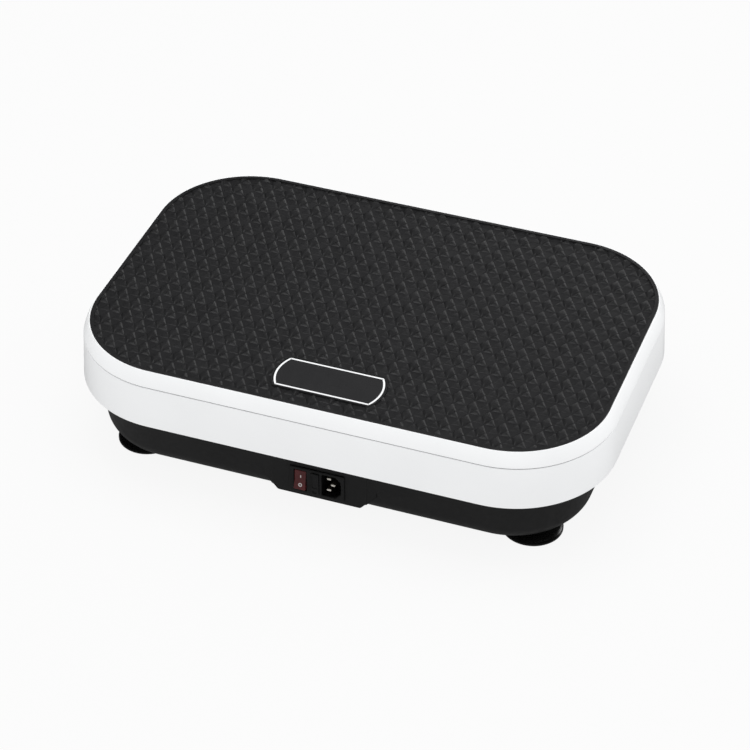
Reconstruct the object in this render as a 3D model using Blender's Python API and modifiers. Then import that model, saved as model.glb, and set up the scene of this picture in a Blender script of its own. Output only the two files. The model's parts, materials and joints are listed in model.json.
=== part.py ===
"""Compact vibration plate: a rocking platform on a motor-driven base.

Units are metres and +Z is up. The origin is on the floor under the middle of the plate.
+X runs along the long side, and the display and the mains inlet face -Y.
"""

from math import acos, atan2, cos, hypot, pi, radians, sin, tan

import bmesh
import bpy
from mathutils import Matrix, Vector

# ---------------------------------------------------------------- driving dimensions
LENGTH = 0.500                 # cover, along X
WIDTH = 0.337                  # cover, along Y
HEIGHT = 0.1257                # floor to the top of the mat
CORNER_RADIUS = 0.0955         # cover's corner in plan
CORNER_STEPS = 8               # facets per corner
GAP = 0.0003                   # between neighbouring pieces
WALL = 0.003                   # moulded shells

# cover: every outline is the cover's own, set in by an inset
SKIRT_BOTTOM_Z = 0.0688
SEAM_Z = 0.1110
SEAM_INSET = 0.0021
SEAM_GROOVE = 0.0004
MAT_INSET = 0.0089
MAT_THICKNESS = 0.0045
RIM_DROP = 0.0004              # shell rim below the mat's top

# base tub
FLOOR_Z = 0.0108
RIM_Z = 0.078
TAPER_TOP_Z = 0.070
TAPER = radians(7.9)
BASE_INSET = 0.0133
BASE_EDGE_RADIUS = 0.0218
BASE_SHORTENING = 0.0008       # at each end, against the cover's outline
BASE_CORNER_CUT = 0.0026       # tighter corner radius than the cover's

# flat inlet panel let into the front of the tub
PANEL_Y = -0.1535
PANEL_X = 0.0025
PANEL_HALF_LOW = 0.0379
PANEL_HALF_HIGH = 0.0449
PANEL_LOW_Z = 0.0198
PANEL_STEP_Z = 0.0253
PANEL_TOP_Z = 0.0670
PANEL_FLARE = 0.006            # the block widens towards the wall behind it
PANEL_DEPTH = 0.022

# power module: rocker switch, fuse drawer and three-pin inlet
MODULE_X = 0.0010
MODULE_Z = 0.0375
FLANGE_SIZE = (0.0520, 0.0286)
FLANGE_THICKNESS = 0.002
MODULE_BODY = (0.0476, 0.0260)
MODULE_DEPTH = 0.0255
ROCKER_X = -0.0145
ROCKER_SIZE = (0.0110, 0.0204)
ROCKER_WELL = (0.0122, 0.0228)
ROCKER_TILT = radians(10)
ROCKER_PIVOT_DEPTH = 0.0032
FUSE_X = -0.0005
FUSE_SIZE = (0.0074, 0.0226)
FUSE_DEPTH = 0.0180
SOCKET_X = 0.01445
SOCKET_SIZE = (0.0180, 0.0228)
SOCKET_DEPTH = 0.0155
SOCKET_CHAMFER = 0.0050
PIN_SECTION = (0.0040, 0.0020)
PIN_LINE_X = 0.01165
PIN_SPREAD = 0.0062
PIN_STEP = 0.0040
PIN_SHORT = 0.0025             # pin tips behind the socket's mouth

# suction feet
FOOT_AT = (0.1852, 0.1027)
FOOT_RADIUS = 0.0276
FOOT_NECK_RADIUS = 0.0090

# display window in the mat
DISPLAY_Y = -0.1191
DISPLAY_HALF = (0.0500, 0.02035)
DISPLAY_STRAIGHT_HALF = 0.0439

# steelwork
CHASSIS_HALF = (0.170, 0.120)
CHASSIS_THICKNESS = 0.003
DECK_HALF = (0.220, 0.140)
DECK_THICKNESS = 0.004
PIVOT_Z = 0.090
PIVOT_RADIUS = 0.006
BRACKET_Y = 0.112
YOKE_Y = 0.100
BUSH_RADIUS = 0.012
STOP_AT = (0.150, 0.088)
STOP_TOP_Z = 0.097
RIB_Y = 0.055

# drive
MOTOR_AT = (-0.095, 0.057)     # x and z of the motor's axis
MOTOR_RADIUS = 0.033
MOTOR_Y = (-0.050, 0.030)
MOTOR_SHAFT_RADIUS = 0.004
CRANK_AT = (0.060, 0.054)      # x and z of the crankshaft's axis
CRANK_RADIUS = 0.006
ECCENTRICITY = 0.00105
CAM_RADIUS = 0.011
CAM_BEARING_RADIUS = 0.015
ROD_Y = 0.020
ROD_PIN_Z = 0.092
ROD_PIN_RADIUS = 0.004
BIG_END_CLEARANCE = 0.0033     # the opened pivot of the linkage
BELT_Y = 0.062
BELT_WIDTH = 0.0096
BELT_THICKNESS = 0.0016
MOTOR_PULLEY_RADIUS = 0.010
DRIVEN_PULLEY_RADIUS = 0.032

# levels that follow from the sizes above
MAT_BOTTOM_Z = HEIGHT - MAT_THICKNESS
PANEL_FACE_Z = MAT_BOTTOM_Z - GAP          # top shell's flat, under the mat
CEILING_Z = PANEL_FACE_Z - WALL
DECK_TOP_Z = CEILING_Z - GAP
DECK_BOTTOM_Z = DECK_TOP_Z - DECK_THICKNESS
UNDER_DECK_Z = DECK_BOTTOM_Z - GAP
CHASSIS_BOTTOM_Z = FLOOR_Z + WALL + GAP
CHASSIS_TOP_Z = CHASSIS_BOTTOM_Z + CHASSIS_THICKNESS
ON_CHASSIS_Z = CHASSIS_TOP_Z + GAP
FLANGE_Y = PANEL_Y - GAP                   # back of the module's flange
MODULE_FACE_Y = FLANGE_Y - FLANGE_THICKNESS

FINISHES = {
    "white_abs": ((0.84, 0.85, 0.86), 0.30, 0.0),
    "black_abs": ((0.016, 0.016, 0.017), 0.55, 0.0),
    "module_nylon": ((0.012, 0.012, 0.013), 0.45, 0.0),
    "mat_rubber": ((0.028, 0.028, 0.029), 0.70, 0.0),
    "foot_rubber": ((0.010, 0.010, 0.010), 0.25, 0.0),
    "buffer_rubber": ((0.020, 0.020, 0.020), 0.80, 0.0),
    "smoked_acrylic": ((0.033, 0.033, 0.033), 0.20, 0.0),
    "switch_red": ((0.45, 0.02, 0.02), 0.25, 0.0),
    "pin_nickel": ((0.80, 0.78, 0.74), 0.25, 1.0),
    "zinc_steel": ((0.62, 0.63, 0.65), 0.35, 1.0),
    "painted_steel": ((0.05, 0.05, 0.055), 0.50, 0.0),
    "cast_aluminium": ((0.60, 0.61, 0.62), 0.45, 1.0),
    "circuit_green": ((0.02, 0.16, 0.06), 0.40, 0.0),
    "belt_rubber": ((0.018, 0.018, 0.018), 0.65, 0.0),
    "lead_pvc": ((0.03, 0.03, 0.035), 0.45, 0.0),
    "fuse_glass": ((0.75, 0.78, 0.80), 0.10, 0.0),
    "capacitor_sleeve": ((0.02, 0.04, 0.16), 0.35, 0.0),
}


# ---------------------------------------------------------------- scene helpers
def clear_scene():
    for obj in list(bpy.data.objects):
        bpy.data.objects.remove(obj, do_unlink=True)


def new_collection(name):
    collection = bpy.data.collections.new(name)
    bpy.context.scene.collection.children.link(collection)
    return collection


clear_scene()
PARTS = new_collection("vibration_plate")
CUTTERS = new_collection("cutters")


def paint(obj, finish):
    colour, roughness, metallic = FINISHES[finish]
    material = bpy.data.materials.new(obj.name)
    material.use_nodes = True
    shader = material.node_tree.nodes["Principled BSDF"]
    shader.inputs["Base Color"].default_value = (*colour, 1.0)
    shader.inputs["Roughness"].default_value = roughness
    shader.inputs["Metallic"].default_value = metallic
    material.diffuse_color = (*colour, 1.0)
    obj.data.materials.append(material)


def axis_empty(name, location):
    """Mark a joint's axis; the pieces that move on it are its children."""
    empty = bpy.data.objects.new(name, None)
    empty.location = location
    empty.empty_display_size = 0.02
    PARTS.objects.link(empty)
    return empty


def place(obj, location=(0, 0, 0), finish=None, parent=None):
    """Put an object at a world location, in the parts if it has a finish, else in the cutters."""
    obj.location = Vector(location)
    if parent is not None:
        obj.parent = parent
        obj.location = obj.location - parent.location
    if finish is None:
        obj.hide_render = True
        obj.display_type = "WIRE"
        CUTTERS.objects.link(obj)
    else:
        paint(obj, finish)
        PARTS.objects.link(obj)
    return obj


def mesh_object(name, mesh_maker):
    """Make an object from a function that fills a bmesh."""
    mesh = bpy.data.meshes.new(name)
    shape = bmesh.new()
    mesh_maker(shape)
    bmesh.ops.recalc_face_normals(shape, faces=shape.faces)
    shape.to_mesh(mesh)
    shape.free()
    mesh.shade_smooth()
    mesh.set_sharp_from_angle(angle=radians(32))
    return bpy.data.objects.new(name, mesh)


def boolean(target, other, operation):
    modifier = target.modifiers.new(other.name, "BOOLEAN")
    modifier.operation = operation
    modifier.object = other
    modifier.solver = "EXACT"


def cut(target, *cutters):
    for cutter in cutters:
        boolean(target, cutter, "DIFFERENCE")


def join(target, *others):
    for other in others:
        boolean(target, other, "UNION")


# ---------------------------------------------------------------- outlines
def arc(centre, radius, start, end, steps):
    """Points from the start angle to the end angle, both included."""
    angles = (start + (end - start) * i / steps for i in range(steps + 1))
    return [(centre[0] + radius * cos(a), centre[1] + radius * sin(a)) for a in angles]


def rounded_rectangle(half_x, half_y, radius, steps=4):
    points = []
    corners = ((1, 1), (-1, 1), (-1, -1), (1, -1))
    for quarter, (sign_x, sign_y) in enumerate(corners):
        centre = (sign_x * (half_x - radius), sign_y * (half_y - radius))
        points += arc(centre, radius, quarter * pi / 2, (quarter + 1) * pi / 2, steps)
    return points


def cover_ring(inset, z):
    """The cover's plan outline, set in and at a height."""
    plan = rounded_rectangle(LENGTH / 2 - inset, WIDTH / 2 - inset, CORNER_RADIUS - inset, CORNER_STEPS)
    return [(x, y, z) for x, y in plan]


def hull_of_circles(first, first_radius, second, second_radius, steps=16):
    """Outline of two circles with their outer tangents, as on a belt or a rod."""
    dx, dy = second[0] - first[0], second[1] - first[1]
    heading = atan2(dy, dx)
    lean = acos((first_radius - second_radius) / hypot(dx, dy))
    return (arc(first, first_radius, heading + lean, heading + 2 * pi - lean, steps)
            + arc(second, second_radius, heading - lean, heading + lean, steps))


def display_outline(grow=0.0):
    """Two straight long sides closed by shallow bulging ends."""
    half_chord = DISPLAY_HALF[1]
    rise = DISPLAY_HALF[0] - DISPLAY_STRAIGHT_HALF
    radius = (half_chord ** 2 + rise ** 2) / (2 * rise)
    centre = DISPLAY_HALF[0] - radius
    sweep = acos((DISPLAY_STRAIGHT_HALF - centre) / radius)
    right = arc((centre, 0), radius + grow, -sweep, sweep, 8)
    return right + [(-x, -y) for x, y in right]


# ---------------------------------------------------------------- solids
def loft(name, rings, capped=True):
    """Skin rings of equal point count; capped at both ends or closed on itself."""
    def build(shape):
        loops = [[shape.verts.new(point) for point in ring] for ring in rings]
        count = len(loops[0])
        pairs = list(zip(loops, loops[1:]))
        if not capped:
            pairs.append((loops[-1], loops[0]))
        for lower, upper in pairs:
            for i in range(count):
                j = (i + 1) % count
                shape.faces.new((lower[i], lower[j], upper[j], upper[i]))
        if capped:
            shape.faces.new(loops[0])
            shape.faces.new(loops[-1])
    return mesh_object(name, build)


TO_AXIS = {
    "X": Matrix(((0, 0, 1), (1, 0, 0), (0, 1, 0))),   # outline in YZ
    "Y": Matrix(((1, 0, 0), (0, 0, 1), (0, 1, 0))),   # outline in XZ
    "Z": Matrix.Identity(3),                          # outline in XY
}


def prism(name, outline, axis, start, end):
    """Extrude a flat outline along an axis, from start to end."""
    turn = TO_AXIS[axis]

    def build(shape):
        face = shape.faces.new([shape.verts.new(turn @ Vector((u, v, start))) for u, v in outline])
        moved = bmesh.ops.extrude_face_region(shape, geom=[face], use_keep_orig=True)
        verts = [item for item in moved["geom"] if isinstance(item, bmesh.types.BMVert)]
        bmesh.ops.translate(shape, verts=verts, vec=turn @ Vector((0, 0, end - start)))
    return mesh_object(name, build)


def box(name, size, bevel=0.0, bevel_segments=2):
    def build(shape):
        bmesh.ops.create_cube(shape, size=1.0)
        bmesh.ops.scale(shape, verts=shape.verts, vec=size)
    obj = mesh_object(name, build)
    if bevel:
        modifier = obj.modifiers.new("edges", "BEVEL")
        modifier.width = bevel
        modifier.segments = bevel_segments
        modifier.limit_method = "ANGLE"
    return obj


def cylinder(name, radius, length, axis="Z", segments=20):
    """A round bar about its own middle."""
    turn = {"X": Matrix.Rotation(pi / 2, 4, "Y"), "Y": Matrix.Rotation(-pi / 2, 4, "X"),
            "Z": Matrix.Identity(4)}[axis]

    def build(shape):
        bmesh.ops.create_cone(shape, cap_ends=True, segments=segments, radius1=radius,
                              radius2=radius, depth=length, matrix=turn)
    return mesh_object(name, build)


def turned(name, profile, steps=20, along_y=False):
    """Turn a profile of (radius, height) points about Z, or about Y.

    The profile runs down its outer side. It starts and ends on the axis, or closes on itself
    where it is a ring.
    """
    mesh = bpy.data.meshes.new(name)
    count = len(profile)
    is_ring = profile[0][0] > 0
    edges = [(i, i + 1) for i in range(count - 1)] + ([(count - 1, 0)] if is_ring else [])
    mesh.from_pydata([(r, 0, z) for r, z in profile], edges, [])
    obj = bpy.data.objects.new(name, mesh)
    screw = obj.modifiers.new("turn", "SCREW")
    screw.axis = "Z"
    screw.steps = steps
    screw.render_steps = steps
    screw.use_merge_vertices = True
    screw.merge_threshold = 0.00001
    screw.use_smooth_shade = True
    if along_y:
        obj.rotation_euler = (-pi / 2, 0, 0)
    return obj


def ring_profile(inner, outer, low, high):
    return [(outer, high), (outer, low), (inner, low), (inner, high)]


def lead(name, points, radius):
    """A short internal wire on a smooth route."""
    curve = bpy.data.curves.new(name, "CURVE")
    curve.dimensions = "3D"
    curve.bevel_depth = radius
    curve.bevel_resolution = 2
    curve.use_fill_caps = True
    route = smooth_route([Vector(p) for p in points], 5)
    spline = curve.splines.new("POLY")
    spline.points.add(len(route) - 1)
    for slot, point in zip(spline.points, route):
        slot.co = (*point, 1.0)
    return bpy.data.objects.new(name, curve)


def smooth_route(points, steps):
    """Catmull-Rom points through a list of guide points."""
    padded = [points[0] * 2 - points[1], *points, points[-1] * 2 - points[-2]]
    route = []
    for i in range(1, len(padded) - 2):
        before, start, end, after = padded[i - 1:i + 3]
        for step in range(steps):
            t = step / steps
            route.append(0.5 * (2 * start + (end - before) * t
                                + (2 * before - 5 * start + 4 * end - after) * t ** 2
                                + (3 * start - before - 3 * end + after) * t ** 3))
    return route + [points[-1]]


def at_corners(x, y):
    """Name suffix and place of a piece that repeats in the four corners."""
    return [("front_left", -x, -y), ("front_right", x, -y), ("rear_left", -x, y), ("rear_right", x, y)]


# ---------------------------------------------------------------- base tub
def tub_wall_inset(z):
    return BASE_INSET + max(0.0, TAPER_TOP_Z - z) * tan(TAPER)


def tub_ring(inset, z):
    """The cover's outline set in by an inset, a little shorter and with tighter corners."""
    outline = rounded_rectangle(LENGTH / 2 - inset - BASE_SHORTENING, WIDTH / 2 - inset,
                                CORNER_RADIUS - inset - BASE_CORNER_CUT, CORNER_STEPS)
    return [(x, y, z) for x, y in outline]


def tub_edge(radius, steps):
    """Rounded lower edge as (inset, z) from the flat floor up to the tapered wall."""
    centre_z = FLOOR_Z + BASE_EDGE_RADIUS
    tangent_z = centre_z - BASE_EDGE_RADIUS * sin(TAPER)
    centre_inset = tub_wall_inset(tangent_z) + BASE_EDGE_RADIUS * cos(TAPER)
    sweep = pi / 2 - TAPER
    return [(centre_inset - radius * sin(sweep * i / steps), centre_z - radius * cos(sweep * i / steps))
            for i in range(steps + 1)]


def make_base_tub():
    outer = tub_edge(BASE_EDGE_RADIUS, 4) + [(BASE_INSET, TAPER_TOP_Z), (BASE_INSET, RIM_Z)]
    inner = tub_edge(BASE_EDGE_RADIUS - WALL, 3)
    inner += [(BASE_INSET + WALL, TAPER_TOP_Z), (BASE_INSET + WALL, RIM_Z)]
    profile = outer + inner[::-1]
    tub = place(loft("base_tub", [tub_ring(inset, z) for inset, z in profile]), finish="black_abs")
    join(tub, panel_block())
    cut(tub, *panel_cutters())
    for suffix, x, y in at_corners(*FOOT_AT):
        hole = cylinder("foot_hole_" + suffix, FOOT_NECK_RADIUS + GAP, 0.02)
        cut(tub, place(hole, (x, y, FLOOR_Z)))
    for suffix, x, y in at_corners(*SCREW_AT):
        cut(tub, place(turned("screw_hole_" + suffix, screw_hole_profile(), 16), (x, y, 0)))
    for side in (-1, 1):
        for row in range(VENT_ROWS):
            slot = prism(f"vent_{side}_{row}", rounded_rectangle(VENT_HALF[0], VENT_HALF[1], 0.0012, 2),
                         "Z", FLOOR_Z - 0.002, FLOOR_Z + 0.006)
            cut(tub, place(slot, (side * (VENT_X + row * VENT_PITCH), 0, 0)))


def panel_step(side, steps=6):
    """The eased step from the panel's low edge to its high corner, from low to high."""
    points = []
    for i in range(steps + 1):
        t = i / steps
        ease = (1 - cos(pi * t)) / 2
        points.append((side * (PANEL_HALF_LOW + (PANEL_HALF_HIGH - PANEL_HALF_LOW) * t),
                       PANEL_LOW_Z + (PANEL_STEP_Z - PANEL_LOW_Z) * ease))
    return points


def panel_block():
    """Block behind the flat inlet panel, which reaches lower than the tub's rounded edge."""
    top = [(PANEL_HALF_HIGH, PANEL_TOP_Z), (-PANEL_HALF_HIGH, PANEL_TOP_Z)]
    outline = panel_step(1) + top + panel_step(-1)[::-1]
    front = [(x, PANEL_Y, z) for x, z in outline]
    spread = 1 + PANEL_FLARE / PANEL_HALF_HIGH
    back = [(x * spread, PANEL_Y + PANEL_DEPTH, z) for x, z in outline]
    return place(loft("panel_block", [front, back]), (PANEL_X, 0, 0))


def panel_cutters():
    reach = 0.03
    face_low_z, face_high_z = 0.042, PANEL_TOP_Z - 0.001
    face = box("panel_face_cut", (2 * PANEL_HALF_HIGH - 0.004, reach, face_high_z - face_low_z))
    place(face, (PANEL_X, PANEL_Y - reach / 2, (face_low_z + face_high_z) / 2))
    pocket_low_z, pocket_high_z = PANEL_LOW_Z + WALL, PANEL_TOP_Z - WALL
    pocket = box("panel_pocket_cut", (2 * (PANEL_HALF_LOW - WALL), reach, pocket_high_z - pocket_low_z))
    place(pocket, (PANEL_X, PANEL_Y + WALL + reach / 2, (pocket_low_z + pocket_high_z) / 2))
    hole = box("module_hole_cut", (MODULE_BODY[0] + 2 * GAP, 0.02, MODULE_BODY[1] + 2 * GAP))
    place(hole, (MODULE_X, PANEL_Y, MODULE_Z))
    return face, pocket, hole


VENT_X = 0.1765
VENT_PITCH = 0.006
VENT_ROWS = 4
VENT_HALF = (0.00125, 0.034)

SCREW_AT = (0.150, 0.095)
SCREW_HEAD = (0.0045, 0.0012)          # radius and height
SCREW_SHANK_RADIUS = 0.0020
SCREW_RECESS = 0.0016


def screw_hole_profile():
    recess_top = FLOOR_Z + SCREW_RECESS
    wide, narrow = SCREW_HEAD[0] + 0.0006, SCREW_SHANK_RADIUS + GAP
    return [(0, 0.024), (narrow, 0.024), (narrow, recess_top), (wide, recess_top), (wide, 0.006), (0, 0.006)]


def make_base_screws():
    low = FLOOR_Z + 0.0001
    profile = [(0, CHASSIS_TOP_Z + 0.002), (SCREW_SHANK_RADIUS, CHASSIS_TOP_Z + 0.002),
               (SCREW_SHANK_RADIUS, low + SCREW_HEAD[1]), (SCREW_HEAD[0], low + SCREW_HEAD[1]),
               (SCREW_HEAD[0], low + 0.0004), (SCREW_HEAD[0] - 0.0006, low), (0, low)]
    for suffix, x, y in at_corners(*SCREW_AT):
        place(turned("base_screw_" + suffix, profile, 16), (x, y, 0), "zinc_steel")


def make_feet():
    """Suction cups: a waist below the tub, a flared skirt, and a shallow hollow underneath."""
    profile = [(0, FLOOR_Z + 0.0040), (FOOT_NECK_RADIUS, FLOOR_Z + 0.0032), (FOOT_NECK_RADIUS, FLOOR_Z - GAP),
               (0.0140, FLOOR_Z - GAP), (0.0160, 0.0082), (0.0215, 0.0056), (0.0262, 0.0038),
               (FOOT_RADIUS, 0.0020), (FOOT_RADIUS, 0), (0.0228, 0), (0.0150, 0.0024), (0, 0.0034)]
    for suffix, x, y in at_corners(*FOOT_AT):
        place(turned("suction_foot_" + suffix, profile, 24), (x, y, 0), "foot_rubber")


# ---------------------------------------------------------------- power module
def make_inlet_housing():
    width, height = FLANGE_SIZE
    housing = prism("inlet_housing", rounded_rectangle(width / 2, height / 2, 0.002, 3), "Y",
                    MODULE_FACE_Y, FLANGE_Y)
    place(housing, (MODULE_X, 0, MODULE_Z), "module_nylon")
    body = box("module_body", (MODULE_BODY[0], MODULE_DEPTH + FLANGE_THICKNESS / 2, MODULE_BODY[1]))
    body_y = FLANGE_Y + (MODULE_DEPTH - FLANGE_THICKNESS / 2) / 2
    join(housing, place(body, (MODULE_X, body_y, MODULE_Z)))
    cut(housing, module_well("rocker_well", ROCKER_X, ROCKER_WELL, 0.0125),
        module_well("fuse_well", FUSE_X, (FUSE_SIZE[0] + 2 * GAP, FUSE_SIZE[1] + 2 * GAP), FUSE_DEPTH + 0.001),
        socket_cutter())
    for name, x, z in pin_places():
        slot = box(name + "_slot", (PIN_SECTION[0] + 2 * GAP, 0.02, PIN_SECTION[1] + 2 * GAP))
        cut(housing, place(slot, (x, MODULE_FACE_Y + SOCKET_DEPTH + 0.0085, z)))


def module_well(name, x, size, depth):
    mouth = 0.004
    well = box(name, (size[0], depth + mouth, size[1]))
    return place(well, (x, MODULE_FACE_Y + (depth - mouth) / 2, MODULE_Z))


def socket_cutter():
    """The inlet's recess: two square corners on the left, two cut corners on the right."""
    half_x, half_z = SOCKET_SIZE[0] / 2, SOCKET_SIZE[1] / 2
    outline = [(-half_x, -half_z), (half_x - SOCKET_CHAMFER, -half_z), (half_x, -half_z + SOCKET_CHAMFER),
               (half_x, half_z - SOCKET_CHAMFER), (half_x - SOCKET_CHAMFER, half_z), (-half_x, half_z)]
    cutter = prism("socket_cut", outline, "Y", MODULE_FACE_Y - 0.004, MODULE_FACE_Y + SOCKET_DEPTH)
    return place(cutter, (SOCKET_X, 0, MODULE_Z))


def pin_places():
    return [("pin_line", PIN_LINE_X, MODULE_Z + PIN_SPREAD), ("pin_neutral", PIN_LINE_X, MODULE_Z - PIN_SPREAD),
            ("pin_earth", PIN_LINE_X + PIN_STEP, MODULE_Z)]


def make_pins():
    start = MODULE_FACE_Y + PIN_SHORT
    end = FLANGE_Y + MODULE_DEPTH + 0.007
    for name, x, z in pin_places():
        pin = box(name, (PIN_SECTION[0], end - start, PIN_SECTION[1]), 0.0004, 1)
        place(pin, (x, (start + end) / 2, z), "pin_nickel")


def make_rocker(axis):
    """Rocker cap: two shallow faces in a V, tilted to its upper end pressed in."""
    half = ROCKER_SIZE[1] / 2
    outline = [(-0.0026, half), (-0.0044, half - 0.0006), (-0.0032, 0.0), (-0.0044, -half + 0.0006),
               (-0.0026, -half), (0.0028, -0.0066), (0.0040, -0.0030), (0.0040, 0.0030), (0.0028, 0.0066)]
    tilt = Matrix.Rotation(-ROCKER_TILT, 2)
    outline = [tuple(tilt @ Vector(point)) for point in outline]
    rocker = prism("rocker_button", outline, "X", -ROCKER_SIZE[0] / 2, ROCKER_SIZE[0] / 2)
    place(rocker, axis.location, "switch_red", axis)


def make_fuse_drawer(axis):
    width, height = FUSE_SIZE
    start = MODULE_FACE_Y - 0.0010
    end = start + FUSE_DEPTH
    drawer = box("fuse_drawer", (width, end - start, height), 0.0004, 1)
    place(drawer, (FUSE_X, (start + end) / 2, MODULE_Z), "module_nylon", axis)
    tray = box("fuse_tray_cut", (width, 0.0076, height - 0.0016))
    cut(drawer, place(tray, (FUSE_X + 0.0014, end - 0.0060, MODULE_Z), parent=axis))
    notch = box("fuse_notch_cut", (0.0040, 0.0024, 0.0030))
    cut(drawer, place(notch, (FUSE_X, start, MODULE_Z - height / 2 + 0.0015), parent=axis))
    fuse = cylinder("fuse", 0.0025, 0.0200, "Z", 20)
    place(fuse, (FUSE_X + 0.0009, end - 0.0060, MODULE_Z), "fuse_glass", axis)


# ---------------------------------------------------------------- platform
def make_side_skirt(axis):
    top_z = SEAM_Z - SEAM_GROOVE / 2
    profile = [(0.0008, SKIRT_BOTTOM_Z), (0.0, SKIRT_BOTTOM_Z + 0.0008), (SEAM_INSET, top_z - 0.0005),
               (SEAM_INSET + 0.0005, top_z), (SEAM_INSET + WALL, top_z),
               (WALL, SKIRT_BOTTOM_Z + 0.0008), (WALL - 0.0006, SKIRT_BOTTOM_Z)]
    rings = [cover_ring(inset, z) for inset, z in profile]
    place(loft("side_skirt", rings, capped=False), finish="white_abs", parent=axis)


def shoulder(steps=5):
    """Outer face of the top shell as (inset, z), bowed outwards, from its rim to the seam."""
    rim_inset, rim_z = MAT_INSET - 0.0012, HEIGHT - RIM_DROP
    low_z = SEAM_Z + SEAM_GROOVE / 2
    drop = rim_z - low_z
    run = rim_inset - SEAM_INSET
    points = []
    for i in range(steps + 1):
        swing = pi / 2 * i / steps
        points.append((rim_inset - run * sin(swing) ** 1.3, low_z + drop * cos(swing) ** 0.8))
    return points


def make_top_shell(axis):
    recess_inset = MAT_INSET - GAP
    low_z = SEAM_Z + SEAM_GROOVE / 2
    outer = [(recess_inset, PANEL_FACE_Z), (recess_inset, HEIGHT - RIM_DROP - 0.0003)] + shoulder()
    inner = [(SEAM_INSET + WALL, low_z), (SEAM_INSET + WALL + 0.0006, 0.1140), (MAT_INSET - 0.0010, CEILING_Z)]
    rings = [cover_ring(inset, z) for inset, z in outer + inner]
    shell = place(loft("top_shell", rings), finish="white_abs", parent=axis)
    window = box("display_pocket_cut", (0.080, 0.030, 0.010))
    cut(shell, place(window, (0, DISPLAY_Y, PANEL_FACE_Z), parent=axis))


def make_mat(axis):
    edge = 0.0005
    profile = [(MAT_INSET, MAT_BOTTOM_Z), (MAT_INSET, HEIGHT - edge), (MAT_INSET + edge, HEIGHT)]
    mat = place(loft("mat", [cover_ring(inset, z) for inset, z in profile]), finish="mat_rubber", parent=axis)
    opening = prism("display_opening_cut", display_outline(GAP), "Z", MAT_BOTTOM_Z - 0.002, HEIGHT + 0.002)
    cut(mat, place(opening, (0, DISPLAY_Y, 0), parent=axis))


def make_display(axis):
    lens = prism("display_lens", display_outline(), "Z", MAT_BOTTOM_Z, HEIGHT - 0.0004)
    place(lens, (0, DISPLAY_Y, 0), "smoked_acrylic", axis)
    board = box("display_board", (0.078, 0.028, 0.0016))
    place(board, (0, DISPLAY_Y, CEILING_Z + 0.0010), "circuit_green", axis)
    digits = box("display_digits", (0.046, 0.016, 0.0012))
    join(board, place(digits, (0, DISPLAY_Y, CEILING_Z + 0.0022), parent=axis))


def make_deck(axis):
    deck = prism("deck_plate", rounded_rectangle(*DECK_HALF, 0.060, 6), "Z", DECK_BOTTOM_Z, DECK_TOP_Z)
    place(deck, (0, 0, 0), "painted_steel", axis)
    for suffix, side in (("front", -1), ("rear", 1)):
        channel = [(-0.015, 0), (0.015, 0), (0.015, -0.002), (0.011, -0.002), (0.011, -0.010),
                   (-0.011, -0.010), (-0.011, -0.002), (-0.015, -0.002)]
        rib = prism("deck_rib_" + suffix, channel, "X", -0.190, 0.190)
        place(rib, (0, side * RIB_Y, UNDER_DECK_Z), "painted_steel", axis)


def eye_plate(name, foot_half, foot_z, eye_radius, y, thickness):
    """A plate in XZ that narrows from its foot to a round eye on the platform's pivot."""
    reach = -1 if foot_z > PIVOT_Z else 1
    eye = arc((0, PIVOT_Z), eye_radius, 0, reach * pi, 12)
    outline = [(-foot_half, foot_z), (foot_half, foot_z)] + eye
    return prism(name, outline, "Y", y - thickness / 2, y + thickness / 2)


def make_yokes(axis):
    for suffix, side in (("front", -1), ("rear", 1)):
        y = side * YOKE_Y
        yoke = eye_plate("pivot_yoke_" + suffix, 0.032, UNDER_DECK_Z, 0.018, y, 0.008)
        place(yoke, (0, 0, 0), "zinc_steel", axis)
        bore = cylinder("yoke_bore_" + suffix, BUSH_RADIUS + GAP, 0.03, "Y")
        cut(yoke, place(bore, (0, y, PIVOT_Z), parent=axis))
        bush = ring_profile(PIVOT_RADIUS + 0.0004, BUSH_RADIUS, -0.0055, 0.0055)
        place(turned("pivot_bush_" + suffix, bush, along_y=True), (0, y, PIVOT_Z), "buffer_rubber", axis)


def make_buffers(axis):
    profile = [(0, UNDER_DECK_Z), (0.009, UNDER_DECK_Z), (0.011, UNDER_DECK_Z - 0.003),
               (0.011, STOP_TOP_Z + 0.0065), (0.009, STOP_TOP_Z + 0.004), (0, STOP_TOP_Z + 0.004)]
    for suffix, x, y in at_corners(*STOP_AT):
        place(turned("rubber_buffer_" + suffix, profile, 20), (x, y, 0), "buffer_rubber", axis)


def make_rod_clevis(axis):
    ear_in, ear_out, plate = 0.008, 0.012, 0.018
    web_z = UNDER_DECK_Z - 0.004
    ear_z = ROD_PIN_Z - 0.008
    half = [(plate, UNDER_DECK_Z), (plate, web_z), (ear_out, web_z), (ear_out, ear_z), (ear_in, ear_z),
            (ear_in, web_z)]
    outline = half + [(-y, z) for y, z in half[::-1]]
    clevis = prism("rod_clevis", outline, "X", -0.011, 0.011)
    place(clevis, (CRANK_AT[0], ROD_Y, 0), "zinc_steel", axis)
    bore = cylinder("clevis_bore", ROD_PIN_RADIUS + GAP, 0.05, "Y", 20)
    cut(clevis, place(bore, (CRANK_AT[0], ROD_Y, ROD_PIN_Z), parent=axis))
    r = ROD_PIN_RADIUS
    profile = [(0, 0.0145), (r - 0.0006, 0.0145), (r, 0.0139), (r, -0.0125), (0.0062, -0.0125),
               (0.0062, -0.0150), (0, -0.0150)]
    pin = turned("rod_pin", profile, 20, along_y=True)
    place(pin, (CRANK_AT[0], ROD_Y, ROD_PIN_Z), "zinc_steel", axis)


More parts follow.
